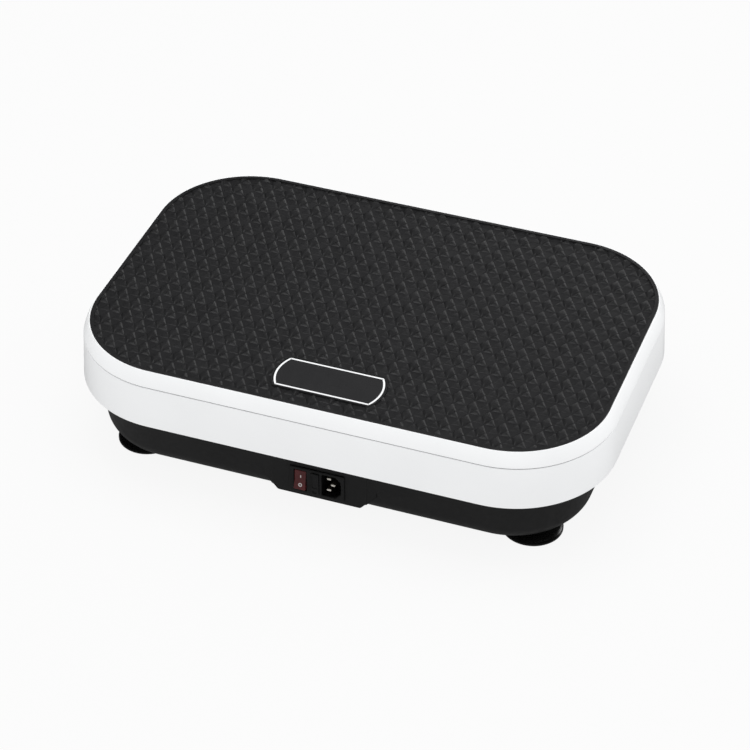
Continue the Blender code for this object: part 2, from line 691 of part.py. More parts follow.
# ---------------------------------------------------------------- chassis
def make_chassis():
    chassis = prism("chassis_plate", rounded_rectangle(*CHASSIS_HALF, 0.025, 4), "Z",
                    CHASSIS_BOTTOM_Z, CHASSIS_TOP_Z)
    place(chassis, (0, 0, 0), "zinc_steel")
    for suffix, x, y in at_corners(*SCREW_AT):
        hole = cylinder("chassis_hole_" + suffix, SCREW_SHANK_RADIUS + GAP, 0.02, "Z", 16)
        cut(chassis, place(hole, (x, y, CHASSIS_TOP_Z)))


def make_pivot_brackets():
    for suffix, side in (("front", -1), ("rear", 1)):
        y = side * BRACKET_Y
        bracket = eye_plate("pivot_bracket_" + suffix, 0.045, ON_CHASSIS_Z, 0.016, y, 0.004)
        place(bracket, (0, 0, 0), "painted_steel")
        foot = box("bracket_foot_" + suffix, (0.090, 0.022, 0.004))
        foot_y = side * (BRACKET_Y - 0.010)
        join(bracket, place(foot, (0, foot_y, ON_CHASSIS_Z + 0.002)))
        bore = cylinder("bracket_bore_" + suffix, PIVOT_RADIUS + GAP, 0.02, "Y")
        cut(bracket, place(bore, (0, y, PIVOT_Z)))


def make_pivot_shaft():
    head_y = BRACKET_Y + 0.002 + GAP
    r, head = PIVOT_RADIUS, 0.0095
    profile = [(0, head_y + 0.004), (head, head_y + 0.004), (head, head_y), (r, head_y), (r, -head_y),
               (head, -head_y), (head, -head_y - 0.004), (0, -head_y - 0.004)]
    place(turned("pivot_shaft", profile, along_y=True), (0, 0, PIVOT_Z), "zinc_steel")


def make_stop_brackets():
    """Folded steel stands that the platform's rubber buffers land on."""
    leg, foot, sheet = 0.106, 0.118, 0.003
    low, top = ON_CHASSIS_Z, STOP_TOP_Z
    half = [(foot, low), (foot, low + sheet), (leg, low + sheet), (leg, top)]
    inside = [(leg - sheet, top - sheet), (leg - sheet, low)]
    outline = half + [(-y, z) for y, z in half[::-1]]
    outline += [(-y, z) for y, z in inside[::-1]] + inside
    for suffix, side in (("left", -1), ("right", 1)):
        stand = prism("stop_bracket_" + suffix, outline, "X", -0.013, 0.013)
        place(stand, (side * STOP_AT[0], 0, 0), "painted_steel")


# ---------------------------------------------------------------- motor and crank
def make_motor():
    x, z = MOTOR_AT
    low, high = MOTOR_Y
    can = ring_profile(MOTOR_RADIUS - 0.003, MOTOR_RADIUS, low, high)
    place(turned("motor_can", can, 28, along_y=True), (x, 0, z), "painted_steel")
    bore = MOTOR_SHAFT_RADIUS + GAP
    front = [(0.012, high + 0.010), (0.012, high + 0.005), (MOTOR_RADIUS - 0.001, high + 0.005),
             (MOTOR_RADIUS - 0.001, high + GAP), (bore, high + GAP), (bore, high + 0.010)]
    place(turned("motor_front_cap", front, 28, along_y=True), (x, 0, z), "cast_aluminium")
    rear = ring_profile(bore, MOTOR_RADIUS - 0.001, low - 0.006, low - GAP)
    place(turned("motor_rear_cap", rear, 28, along_y=True), (x, 0, z), "cast_aluminium")
    make_motor_cradle(x, z)


def make_motor_cradle(x, z):
    half, length = 0.034, 0.050
    saddle = arc((0, z), MOTOR_RADIUS + GAP, radians(-25), radians(-155), 14)
    shoulder_z = saddle[0][1]
    outline = [(-half, ON_CHASSIS_Z), (half, ON_CHASSIS_Z), (half, shoulder_z)] + saddle + [(-half, shoulder_z)]
    middle = sum(MOTOR_Y) / 2
    cradle = prism("motor_cradle", outline, "Y", middle - length / 2, middle + length / 2)
    place(cradle, (x, 0, 0), "cast_aluminium")


def make_rotor(axis):
    x, z = MOTOR_AT
    r = MOTOR_SHAFT_RADIUS
    armature = 0.024
    profile = [(0, 0.0715), (r - 0.0005, 0.0715), (r, 0.0710), (r, 0.016), (armature, 0.016),
               (armature, -0.036), (r, -0.036), (r, -0.078), (0, -0.078)]
    place(turned("motor_shaft", profile, along_y=True), (x, 0, z), "zinc_steel", axis)
    place(turned("motor_pulley", pulley_profile(MOTOR_PULLEY_RADIUS, r + GAP, 0.0026), along_y=True),
          (x, BELT_Y, z), "zinc_steel", axis)
    place(fan("motor_fan", r + GAP), (x, 0, z), "black_abs", axis)


def pulley_profile(radius, bore, flange):
    half, lip = BELT_WIDTH / 2 + 0.0005, 0.0014
    return [(radius + flange, half + lip), (radius + flange, half), (radius, half), (radius, -half),
            (radius + flange, -half), (radius + flange, -half - lip), (bore, -half - lip),
            (bore, half + lip)]


def fan(name, bore):
    """Cooling fan: eight square-cut blades on a hub."""
    blades, hub_radius, tip_radius = 8, 0.009, 0.022
    outline = []
    for i in range(blades):
        start = 2 * pi * i / blades
        outline += [(hub_radius * cos(start), hub_radius * sin(start)),
                    (tip_radius * cos(start + 0.10), tip_radius * sin(start + 0.10)),
                    (tip_radius * cos(start + 0.34), tip_radius * sin(start + 0.34)),
                    (hub_radius * cos(start + 0.50), hub_radius * sin(start + 0.50))]
    wheel = prism(name, outline, "Y", -0.074, -0.066)
    hole = cylinder("fan_bore", bore, 0.02, "Y", 20)
    cut(wheel, place(hole, (MOTOR_AT[0], -0.070, MOTOR_AT[1]), parent=MOTOR_AXIS))
    return wheel


def make_crank(axis):
    x, z = CRANK_AT
    r = CRANK_RADIUS
    profile = [(0, 0.0715), (r - 0.0005, 0.0715), (r, 0.0710), (r, -0.0145), (0, -0.0145)]
    shaft = turned("eccentric_shaft", profile, along_y=True)
    place(shaft, (x, 0, z), "zinc_steel", axis)
    cam = cylinder("eccentric_cam", CAM_RADIUS, 0.012, "Y")
    join(shaft, place(cam, (x + ECCENTRICITY, ROD_Y, z), parent=axis))
    race = ring_profile(CAM_RADIUS + GAP, CAM_BEARING_RADIUS, -0.005, 0.005)
    place(turned("cam_bearing", race, along_y=True), (x + ECCENTRICITY, ROD_Y, z), "zinc_steel", axis)
    make_driven_pulley(axis)


def make_driven_pulley(axis):
    """Belt pulley with a rim, a thin web and a hub."""
    x, z = CRANK_AT
    radius, bore, flange = DRIVEN_PULLEY_RADIUS, CRANK_RADIUS + GAP, 0.0026
    half, lip, web, rim = BELT_WIDTH / 2 + 0.0005, 0.0014, 0.002, 0.004
    edge = half + lip
    profile = [(radius + flange, edge), (radius + flange, half), (radius, half), (radius, -half),
               (radius + flange, -half), (radius + flange, -edge), (radius - rim, -edge),
               (radius - rim, -web), (0.012, -web), (0.012, -edge), (bore, -edge), (bore, edge),
               (0.012, edge), (0.012, web), (radius - rim, web), (radius - rim, edge)]
    pulley = turned("driven_pulley", profile, 28, along_y=True)
    place(pulley, (x, BELT_Y, z), "cast_aluminium", axis)
    for i in range(5):
        angle = 2 * pi * i / 5
        hole = cylinder(f"pulley_hole_{i}", 0.0055, 0.01, "Y", 12)
        spot = (x + 0.0200 * cos(angle), BELT_Y, z + 0.0200 * sin(angle))
        cut(pulley, place(hole, spot, parent=axis))


def make_belt():
    start, end = BELT_Y - BELT_WIDTH / 2, BELT_Y + BELT_WIDTH / 2
    rings = []
    for clearance, y in ((GAP, start), (GAP, end), (GAP + BELT_THICKNESS, end), (GAP + BELT_THICKNESS, start)):
        outline = hull_of_circles(MOTOR_AT, MOTOR_PULLEY_RADIUS + clearance,
                                  CRANK_AT, DRIVEN_PULLEY_RADIUS + clearance)
        rings.append([(x, y, z) for x, z in outline])
    place(loft("drive_belt", rings, capped=False), finish="belt_rubber")


def make_shaft_bearings():
    x, z = CRANK_AT
    for suffix, y in (("front", -0.004), ("rear", 0.044)):
        eye = arc((0, z), 0.017, 0, pi, 12)
        outline = [(-0.017, ON_CHASSIS_Z + 0.008), (-0.028, ON_CHASSIS_Z + 0.008), (-0.028, ON_CHASSIS_Z),
                   (0.028, ON_CHASSIS_Z), (0.028, ON_CHASSIS_Z + 0.008), (0.017, ON_CHASSIS_Z + 0.008)] + eye
        block = prism("shaft_bearing_" + suffix, outline, "Y", y - 0.006, y + 0.006)
        place(block, (x, 0, 0), "cast_aluminium")
        bore = cylinder("bearing_bore_" + suffix, CRANK_RADIUS + GAP, 0.03, "Y")
        cut(block, place(bore, (x, y, z)))


def make_connecting_rod(axis):
    """Ring at the crank, with room for the crank's throw, and an eye on the platform's pin."""
    big = CAM_BEARING_RADIUS + BIG_END_CLEARANCE
    outline = hull_of_circles((0, CRANK_AT[1] - ROD_PIN_Z), big + 0.0042, (0, 0), 0.009)
    rod = prism("connecting_rod", outline, "Y", -0.005, 0.005)
    place(rod, axis.location, "cast_aluminium", axis)
    x, y, z = axis.location
    ring = cylinder("big_end_bore", big, 0.03, "Y", 32)
    eye = cylinder("small_end_bore", ROD_PIN_RADIUS + GAP, 0.03, "Y", 20)
    cut(rod, place(ring, (x, y, CRANK_AT[1]), parent=axis), place(eye, (x, y, z), parent=axis))


# ---------------------------------------------------------------- electrics
BOARD_CENTRE = (0.068, -0.0535)
BOARD_SIZE = (0.104, 0.062, 0.0016)
BOARD_Z = ON_CHASSIS_Z + 0.0095


def make_control_board():
    x, y = BOARD_CENTRE
    board = place(box("control_board", BOARD_SIZE), (x, y, BOARD_Z), "circuit_green")
    height = BOARD_Z - ON_CHASSIS_Z
    for suffix, dx, dy in at_corners(0.047, 0.026):
        post = cylinder("board_post_" + suffix, 0.0028, height, "Z", 12)
        join(board, place(post, (x + dx, y + dy, ON_CHASSIS_Z + height / 2)))
    top = BOARD_Z + BOARD_SIZE[2] / 2 + GAP
    fins, pitch, fin = 6, 0.005, 0.0018
    outline = [(0, 0), ((fins - 1) * pitch + fin, 0)]
    for i in reversed(range(fins)):
        left = i * pitch
        outline += [(left + fin, 0.020), (left, 0.020)]
        if i:
            outline += [(left, 0.004), (left - pitch + fin, 0.004)]
    sink = prism("heat_sink", outline, "X", -0.020, 0.020)
    place(sink, (x - 0.012, y - 0.013, top), "cast_aluminium")
    can = cylinder("board_capacitor", 0.0090, 0.024, "Z", 24)
    place(can, (x + 0.030, y - 0.012, top + 0.012), "capacitor_sleeve")


def make_leads():
    x, y = BOARD_CENTRE
    board_top = BOARD_Z + 0.0035
    mains = [(0.0135, -0.1185, 0.0290), (0.0330, -0.1195, 0.0285), (0.0560, -0.1120, 0.0285),
             (0.0700, -0.1000, 0.0295), (x + 0.008, y - 0.0315, board_top + 0.001)]
    place(lead("mains_lead", mains, 0.0024), finish="lead_pvc")
    motor = [(x - 0.0530, y + 0.012, board_top), (-0.0060, -0.0440, 0.0260), (-0.0350, -0.0600, 0.0270),
             (-0.0600, -0.0700, 0.0340), (-0.0700, -0.0665, 0.0410), (-0.0705, -0.0575, 0.0430)]
    place(lead("motor_lead", motor, 0.0018), finish="lead_pvc")


# ---------------------------------------------------------------- assembly
PLATFORM_AXIS = axis_empty("platform_pivot", (0, 0, PIVOT_Z))
CRANK_AXIS = axis_empty("crank_axis", (CRANK_AT[0], 0, CRANK_AT[1]))
MOTOR_AXIS = axis_empty("motor_axis", (MOTOR_AT[0], 0, MOTOR_AT[1]))
ROD_AXIS = axis_empty("rod_axis", (CRANK_AT[0], ROD_Y, ROD_PIN_Z))
SWITCH_AXIS = axis_empty("switch_axis", (ROCKER_X, MODULE_FACE_Y + ROCKER_PIVOT_DEPTH, MODULE_Z))
FUSE_AXIS = axis_empty("fuse_slide", (FUSE_X, MODULE_FACE_Y, MODULE_Z))


def main():
    make_base_tub()
    make_base_screws()
    make_feet()
    make_inlet_housing()
    make_pins()
    make_rocker(SWITCH_AXIS)
    make_fuse_drawer(FUSE_AXIS)
    make_side_skirt(PLATFORM_AXIS)
    make_top_shell(PLATFORM_AXIS)
    make_mat(PLATFORM_AXIS)
    make_display(PLATFORM_AXIS)
    make_deck(PLATFORM_AXIS)
    make_yokes(PLATFORM_AXIS)
    make_buffers(PLATFORM_AXIS)
    make_rod_clevis(PLATFORM_AXIS)
    make_chassis()
    make_pivot_brackets()
    make_pivot_shaft()
    make_stop_brackets()
    make_motor()
    make_rotor(MOTOR_AXIS)
    make_crank(CRANK_AXIS)
    make_belt()
    make_shaft_bearings()
    make_connecting_rod(ROD_AXIS)
    make_control_board()
    make_leads()


main()
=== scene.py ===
"""Compact vibration plate: its looks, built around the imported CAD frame.

Lengths are metres, +Z is up and the floor is z = 0. +X runs along the plate's long side, and the
display window and the mains inlet face -Y.
"""

import json
import logging
from dataclasses import dataclass, field
from enum import Enum
from math import acos, cos, pi, radians, sin, tan
from typing import Callable, Iterable, Sequence, Union

import bmesh
import bpy
from mathutils import Matrix, Vector


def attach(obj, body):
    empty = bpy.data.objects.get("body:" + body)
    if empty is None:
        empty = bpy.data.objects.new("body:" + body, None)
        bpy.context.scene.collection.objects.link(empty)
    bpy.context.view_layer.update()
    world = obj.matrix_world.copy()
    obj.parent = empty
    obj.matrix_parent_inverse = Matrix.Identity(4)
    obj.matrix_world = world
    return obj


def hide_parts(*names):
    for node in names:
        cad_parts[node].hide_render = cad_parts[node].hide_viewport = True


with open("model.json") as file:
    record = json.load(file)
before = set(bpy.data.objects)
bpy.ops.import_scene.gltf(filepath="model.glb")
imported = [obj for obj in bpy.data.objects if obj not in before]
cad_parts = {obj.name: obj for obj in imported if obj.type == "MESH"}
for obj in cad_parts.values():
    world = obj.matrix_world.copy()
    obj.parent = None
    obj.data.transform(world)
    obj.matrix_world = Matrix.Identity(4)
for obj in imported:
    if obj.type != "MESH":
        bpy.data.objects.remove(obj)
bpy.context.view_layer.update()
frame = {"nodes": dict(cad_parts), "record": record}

LOG = logging.getLogger("vibration_plate")
Point2 = tuple[float, float]
Point3 = tuple[float, float, float]
Ring = list[Point3]
Piece = bpy.types.Object
Shape = bmesh.types.BMesh
Tree = bpy.types.NodeTree
Node = bpy.types.Node
Socket = bpy.types.NodeSocket
Source = Union[float, int, str, Sequence[float], Socket, None]
MM = 0.001


class Body(Enum):
    """The bodies that a piece can ride on."""

    BASE = "base"
    PLATFORM = "platform"
    SWITCH = "switch"
    FUSE_HOLDER = "fuse_holder"


class Axis(Enum):
    """The axis that a flat outline is pushed along, with the two axes that the outline lies in."""

    X = "outline in YZ"
    Y = "outline in XZ"
    Z = "outline in XY"

    def point(self, u: float, v: float, w: float) -> Point3:
        """Turn outline coordinates u, v and a distance w along the axis into a point."""
        return {Axis.X: (w, u, v), Axis.Y: (u, w, v), Axis.Z: (u, v, w)}[self]


class Cut(Enum):
    """What a boolean does with its other solids."""

    AWAY = "DIFFERENCE"
    KEEP_COMMON = "INTERSECT"
    ADD = "UNION"


# ------------------------------------------------------------------------------ nodes and colour
def linear(hex_colour: str) -> tuple[float, float, float, float]:
    """Turn an sRGB hex colour such as "#1c1c1d" into linear RGBA.

    Args:
        hex_colour: The colour, with or without its leading #.

    Returns:
        Red, green, blue in linear light, and an alpha of 1.
    """
    digits = hex_colour.lstrip("#")
    channels = [int(digits[i:i + 2], 16) / 255 for i in (0, 2, 4)]
    light = [c / 12.92 if c <= 0.04045 else ((c + 0.055) / 1.055) ** 2.4 for c in channels]
    return (*light, 1.0)


def add_node(tree: Tree, kind: str, settings: dict[str, object] | None = None,
             links: dict[str | int, Source] | None = None) -> Node:
    """Add a node to a tree with its settings, its input values and its links.

    Args:
        tree: The shader or geometry tree.
        kind: The node's type name.
        settings: The node's own properties.
        links: Inputs by name or index, each with a socket to link from or a value to hold.

    Returns:
        The new node.
    """
    node = tree.nodes.new(kind)
    for name, value in (settings or {}).items():
        setattr(node, name, value)
    for name, source in (links or {}).items():
        if isinstance(source, Socket):
            tree.links.new(source, node.inputs[name])
        else:
            node.inputs[name].default_value = source
    return node


def ramp(tree: Tree, value: Socket,
         stops: Sequence[tuple[float, tuple[float, float, float, float]]]) -> Socket:
    """Colour a value with a ramp of (position, colour) stops and return the colour socket."""
    node = add_node(tree, "ShaderNodeValToRGB", links={"Fac": value})
    elements = node.color_ramp.elements
    while len(elements) < len(stops):
        elements.new(0.5)
    for element, (position, colour) in zip(elements, stops):
        element.position = position
        element.color = colour
    return node.outputs["Color"]


# ------------------------------------------------------------------------------------- finishes
@dataclass(frozen=True)
class Finish:
    """A surface finish. Subclasses add what the real material shows."""

    slot: str
    colour: str
    roughness: float
    ior: float = 1.5
    shade: str = "#808080"

    def material(self) -> bpy.types.Material:
        """Build this finish's material once, and give the same one after that."""
        made = bpy.data.materials.get(self.title())
        if made is not None:
            return made
        made = bpy.data.materials.new(self.title())
        made.use_nodes = True
        tree = made.node_tree
        shader = tree.nodes["Principled BSDF"]
        shader.inputs["Base Color"].default_value = linear(self.colour)
        shader.inputs["Roughness"].default_value = self.roughness
        shader.inputs["IOR"].default_value = self.ior
        place = add_node(tree, "ShaderNodeTexCoord").outputs["Object"]
        self.detail(tree, shader, place)
        return made

    def title(self) -> str:
        """The material's name."""
        return f"{self.slot}_{type(self).__name__.lower()}"

    def detail(self, tree: Tree, shader: Node, place: Socket) -> None:
        """Add the finish's pattern, relief and gloss to the shader."""

    def noise(self, tree: Tree, place: Socket, size_mm: float, detail: float = 3.0) -> Socket:
        """A noise pattern whose blotches are about size_mm across."""
        node = add_node(tree, "ShaderNodeTexNoise",
                        links={"Vector": place, "Scale": 1 / (size_mm * MM), "Detail": detail})
        return node.outputs["Fac"]

    def tone(self, tree: Tree, shader: Node, pattern: Socket, low: float, high: float) -> None:
        """Drift from the shade to the colour while the pattern goes from low to high."""
        blend = ramp(tree, pattern, [(low, linear(self.shade)), (high, linear(self.colour))])
        tree.links.new(blend, shader.inputs["Base Color"])

    def gloss(self, tree: Tree, shader: Node, pattern: Socket, less: float, more: float) -> None:
        """Vary the roughness by -less to +more over a noise's middle range."""
        node = add_node(tree, "ShaderNodeMapRange",
                        links={"Value": pattern, "From Min": 0.3, "From Max": 0.7,
                               "To Min": self.roughness - less, "To Max": self.roughness + more})
        tree.links.new(node.outputs["Result"], shader.inputs["Roughness"])

    def relief(self, tree: Tree, shader: Node, height: Socket, depth_mm: float,
               strength: float) -> None:
        """Press a height pattern of the given depth into the surface."""
        bump = add_node(tree, "ShaderNodeBump",
                        links={"Height": height, "Distance": depth_mm * MM, "Strength": strength})
        tree.links.new(bump.outputs["Normal"], shader.inputs["Normal"])


@dataclass(frozen=True)
class GlossMoulding(Finish):
    """ABS from a polished mould: an even gloss, a barely rippled skin and a faint tone drift."""

    shade: str = "#eef0f2"
    ripple_mm: float = 9.0

    def detail(self, tree: Tree, shader: Node, place: Socket) -> None:
        """Tone drift over hands' breadths, gloss drift, and the mould's soft ripple."""
        self.tone(tree, shader, self.noise(tree, place, 60.0, 2.0), 0.35, 0.65)
        self.gloss(tree, shader, self.noise(tree, place, 3.0), 0.03, 0.04)
        self.relief(tree, shader, self.noise(tree, place, self.ripple_mm, 4.0), 0.02, 0.35)


@dataclass(frozen=True)
class GrainMoulding(Finish):
    """ABS or nylon from a spark-eroded mould: a fine even pebble that breaks the gloss up."""

    shade: str = "#161617"
    grain_mm: float = 0.9
    grain_depth_mm: float = 0.03

    def detail(self, tree: Tree, shader: Node, place: Socket) -> None:
        """The pebble is drawn at about twice its real 0.4 mm, as fine as it can still be seen."""
        pebble = add_node(tree, "ShaderNodeTexVoronoi", {"feature": "SMOOTH_F1"},
                          {"Vector": place, "Scale": 1 / (self.grain_mm * MM), "Smoothness": 0.6})
        self.tone(tree, shader, self.noise(tree, place, 35.0), 0.35, 0.65)
        self.gloss(tree, shader, self.noise(tree, place, 5.0), 0.05, 0.06)
        self.relief(tree, shader, pebble.outputs["Distance"], self.grain_depth_mm, 0.5)


@dataclass(frozen=True)
class Rubber(Finish):
    """Moulded rubber: dark, with a dusty sheen on its edges and a fine skin."""

    shade: str = "#1a1a1b"
    skin_mm: float = 0.7
    skin_depth_mm: float = 0.02
    sheen: float = 0.15

    def detail(self, tree: Tree, shader: Node, place: Socket) -> None:
        """Bloom and rubbed patches in tone and gloss, and the skin's fine tooth."""
        self.tone(tree, shader, self.noise(tree, place, 18.0, 5.0), 0.32, 0.68)
        self.gloss(tree, shader, self.noise(tree, place, 7.0, 4.0), 0.06, 0.06)
        shader.inputs["Sheen Weight"].default_value = self.sheen
        shader.inputs["Sheen Roughness"].default_value = 0.5
        self.relief(tree, shader, self.noise(tree, place, self.skin_mm, 2.0),
                    self.skin_depth_mm, 0.5)


@dataclass(frozen=True)
class ClearTint(Finish):
    """Polished tinted plastic or glass, as on the display window, the rocker and the fuse."""

    shade: str = "#202021"
    coat: float = 0.3

    def detail(self, tree: Tree, shader: Node, place: Socket) -> None:
        """A very slight wave in the polish, and a coat that keeps the reflection crisp."""
        self.tone(tree, shader, self.noise(tree, place, 12.0, 2.0), 0.35, 0.65)
        shader.inputs["Coat Weight"].default_value = self.coat
        shader.inputs["Coat Roughness"].default_value = 0.06
        self.relief(tree, shader, self.noise(tree, place, 6.0, 2.0), 0.01, 0.3)


@dataclass(frozen=True)
class PrintedInk(Finish):
    """Screen-printed ink: a flat, dry film, slightly uneven where the mesh let it through."""

    shade: str = "#d9dadb"

    def detail(self, tree: Tree, shader: Node, place: Socket) -> None:
        """Fine tone speckle at the screen's thread spacing."""
        speckle = self.noise(tree, place, 0.5)
        self.tone(tree, shader, speckle, 0.3, 0.6)
        self.relief(tree, shader, speckle, 0.01, 0.4)


@dataclass(frozen=True)
class Metal(Finish):
    """Bare or plated metal. The stretch draws the noise out along one axis, as brushing does."""

    shade: str = "#9a9ca0"
    grain_mm: float = 1.2
    grain_depth_mm: float = 0.02
    stretch: Point3 = (1.0, 1.0, 1.0)
    metallic: float = 1.0

    def detail(self, tree: Tree, shader: Node, place: Socket) -> None:
        """Grain in tone, gloss and relief."""
        shader.inputs["Metallic"].default_value = self.metallic
        drawn = add_node(tree, "ShaderNodeMapping", links={"Vector": place, "Scale": self.stretch})
        grain = self.noise(tree, drawn.outputs["Vector"], self.grain_mm, 5.0)
        self.tone(tree, shader, grain, 0.3, 0.65)
        self.gloss(tree, shader, grain, 0.08, 0.1)
        self.relief(tree, shader, grain, self.grain_depth_mm, 0.6)


@dataclass(frozen=True)
class PlatedPin(Metal):
    """Nickel-plated brass, bright at the tip, with painted shade: dark brown further into the
    socket.
    """

    # Painted shade inside the socket: the pin turns from its colour to dark brown between these two
    # depths.
    lit_tip_to_y: float = -0.1530
    painted_shade_from_y: float = -0.1525
    socket_painted_shade: str = "#26231f"

    def detail(self, tree: Tree, shader: Node, place: Socket) -> None:
        """The plating's grain, with painted shade: dark brown behind the bright tip."""
        super().detail(tree, shader, place)
        plating = shader.inputs["Base Color"].links[0].from_socket
        y = add_node(tree, "ShaderNodeSeparateXYZ", links={0: place}).outputs["Y"]
        # Painted shade: the pin darkens from the tip inwards, where the socket's shade falls.
        inner = add_node(tree, "ShaderNodeMapRange",
                         links={"Value": y, "From Min": self.lit_tip_to_y,
                                "From Max": self.painted_shade_from_y})
        mix = add_node(tree, "ShaderNodeMix", {"data_type": "RGBA"},
                       {0: inner.outputs["Result"], 6: plating, 7: linear(self.socket_painted_shade)})
        tree.links.new(mix.outputs[2], shader.inputs["Base Color"])


@dataclass(frozen=True)
class CircuitBoard(Finish):
    """Solder mask over copper: lighter tracks, a dull mask between them, and tinned pads."""

    shade: str = "#0b3d1c"
    track: str = "#1f7a3d"
    pad: str = "#c9cbc6"
    pitch_mm: float = 2.54

    def detail(self, tree: Tree, shader: Node, place: Socket) -> None:
        """Tracks follow a brick pattern, and pads sit on the 2.54 mm grid of the parts' legs."""
        tracks = add_node(tree, "ShaderNodeTexBrick", {"offset": 0.37},
                          {"Vector": place, "Scale": 1.0, "Color1": linear(self.colour),
                           "Color2": linear(self.shade), "Mortar": linear(self.track),
                           "Mortar Size": 0.35 * MM, "Brick Width": 4 * self.pitch_mm * MM,
                           "Row Height": self.pitch_mm * MM})
        dots = add_node(tree, "ShaderNodeTexVoronoi", {"feature": "F1"},
                        {"Vector": place, "Scale": 1 / (2 * self.pitch_mm * MM),
                         "Randomness": 0.25})
        near = add_node(tree, "ShaderNodeMath", {"operation": "LESS_THAN"},
                        {0: dots.outputs["Distance"], 1: 0.16})
        mix = add_node(tree, "ShaderNodeMix", {"data_type": "RGBA"},
                       {0: near.outputs[0], 6: tracks.outputs["Color"], 7: linear(self.pad)})
        tree.links.new(mix.outputs[2], shader.inputs["Base Color"])
        self.relief(tree, shader, tracks.outputs["Fac"], 0.04, 0.6)


# Mouldings: the white cover is glossy, the tub and the power module are dull and finely grained.
WHITE_ABS = GlossMoulding("white_abs", "#f1f2f3", 0.32, 1.53, "#eff0f1")
BLACK_ABS = GrainMoulding("black_abs", "#0f0f10", 0.46, 1.53, "#0c0c0d")
MODULE_NYLON = GrainMoulding("module_nylon", "#0b0b0c", 0.44, 1.53, "#080809", 0.6, 0.015)
# Rubbers: the mat has a soft satin look, the feet are darker and smoother.
MAT_RUBBER = Rubber("mat_rubber", "#262627", 0.38, 1.52, "#212122", 0.7, 0.015, 0.0)
FOOT_RUBBER = Rubber("foot_rubber", "#0c0c0c", 0.25, 1.52, "#080808", 1.5, 0.008, 0.0)
BUFFER_RUBBER = Rubber("buffer_rubber", "#2a2826", 0.72, 1.52)
BELT_RUBBER = Rubber("belt_rubber", "#232323", 0.6, 1.52, "#171717", 1.0, 0.05)
LEAD_PVC = Rubber("lead_pvc", "#2e2e33", 0.4, 1.53, "#222226", 1.0, 0.01, 0.05)
# Polished plastics and glass, and the inks printed on them.
SMOKED_ACRYLIC = ClearTint("smoked_acrylic", "#2c2c2d", 0.22, 1.49, "#2a2a2b", 0.2)
SWITCH_RED = ClearTint("switch_red", "#4f191a", 0.32, 1.58, "#451516", 0.05)
FUSE_GLASS = ClearTint("fuse_glass", "#cfd6da", 0.08, 1.52, "#b4bdc2", 0.5)
CAPACITOR_SLEEVE = ClearTint("capacitor_sleeve", "#1c2b66", 0.35, 1.53, "#152150", 0.2)
WHITE_INK = PrintedInk("white_abs", "#f2f3f4", 0.5)
SWITCH_INK = PrintedInk("switch_red", "#b4adac", 0.5, 1.5, "#a09897")
# Metals and the circuit board.
PIN_NICKEL = PlatedPin("pin_nickel", "#e4e0d8", 0.3, 1.5, "#cfcac0", 0.6, 0.005,
                       (1.0, 0.15, 1.0), 0.4)
ZINC_STEEL = Metal("zinc_steel", "#c2c6cb", 0.34, 1.5, "#a5a9ae", 4.0, 0.01)
PAINTED_STEEL = Metal("painted_steel", "#3a3a3d", 0.5, 1.5, "#2c2c2f", 1.2, 0.05, metallic=0.0)
CAST_ALUMINIUM = Metal("cast_aluminium", "#bdbfc1", 0.45, 1.5, "#9b9da0", 0.9, 0.06)
CIRCUIT_GREEN = CircuitBoard("circuit_green", "#0f4d25", 0.4)


# ----------------------------------------------------------------------------------- mesh tools
def new_object(name: str, mesh: bpy.types.Mesh) -> Piece:
    """Put a mesh in the scene at the origin."""
    obj = bpy.data.objects.new(name, mesh)
    bpy.context.scene.collection.objects.link(obj)
    return obj


def shade(obj: Piece, sharp_angle: float = 32.0) -> Piece:
    """Shade smooth, with creases kept above the given angle in degrees."""
    obj.data.shade_smooth()
    obj.data.set_sharp_from_angle(angle=radians(sharp_angle))
    return obj


def built(name: str, fill: Callable[[Shape], None],
          sharp_angle: float = 32.0) -> Piece:
    """Make an object from a function that fills a bmesh, with its faces turned outwards."""
    mesh = bpy.data.meshes.new(name)
    shape = bmesh.new()
    fill(shape)
    bmesh.ops.remove_doubles(shape, verts=shape.verts, dist=1e-7)
    bmesh.ops.recalc_face_normals(shape, faces=shape.faces)
    shape.to_mesh(mesh)
    shape.free()
    return shade(new_object(name, mesh), sharp_angle)


def loft(name: str, rings: Sequence[Ring], capped: bool = True,
         sharp_angle: float = 32.0) -> Piece:
    """Skin a row of rings of equal point count.

    Args:
        name: The object's name.
        rings: The rings, in order along the skin.
        capped: Close both ends with a face, instead of joining the last ring to the first.
        sharp_angle: Creases above this many degrees stay sharp.

    Returns:
        The new object.
    """
    def fill(shape: Shape) -> None:
        loops = [[shape.verts.new(point) for point in ring] for ring in rings]
        pairs = list(zip(loops, loops[1:])) + ([] if capped else [(loops[-1], loops[0])])
        count = len(loops[0])
        for lower, upper in pairs:
            for i in range(count):
                j = (i + 1) % count
                shape.faces.new((lower[i], lower[j], upper[j], upper[i]))
        if capped:
            shape.faces.new(loops[0])
            shape.faces.new(loops[-1])
    return built(name, fill, sharp_angle)


def turned(name: str, profile: Sequence[Point2], steps: int,
           sharp_angle: float = 32.0) -> Piece:
    """Turn a profile of (radius, z) points about Z. A point of no radius closes on the axis."""
    def fill(shape: Shape) -> None:
        rows = []
        for radius, z in profile:
            count = steps if radius > 0 else 1
            rows.append([shape.verts.new((radius * cos(2 * pi * i / steps),
                                          radius * sin(2 * pi * i / steps), z))
                         for i in range(count)])
        for upper, lower in zip(rows, rows[1:]):
            for i in range(steps):
                j = (i + 1) % steps
                corners = [upper[i % len(upper)], upper[j % len(upper)],
                           lower[j % len(lower)], lower[i % len(lower)]]
                shape.faces.new(list(dict.fromkeys(corners)))
    return built(name, fill, sharp_angle)


def bake(obj: Piece) -> Piece:
    """Replace an object's mesh by the result of its modifiers."""
    depsgraph = bpy.context.evaluated_depsgraph_get()
    mesh = bpy.data.meshes.new_from_object(obj.evaluated_get(depsgraph), depsgraph=depsgraph)
    obj.modifiers.clear()
    obj.data = mesh
    return obj


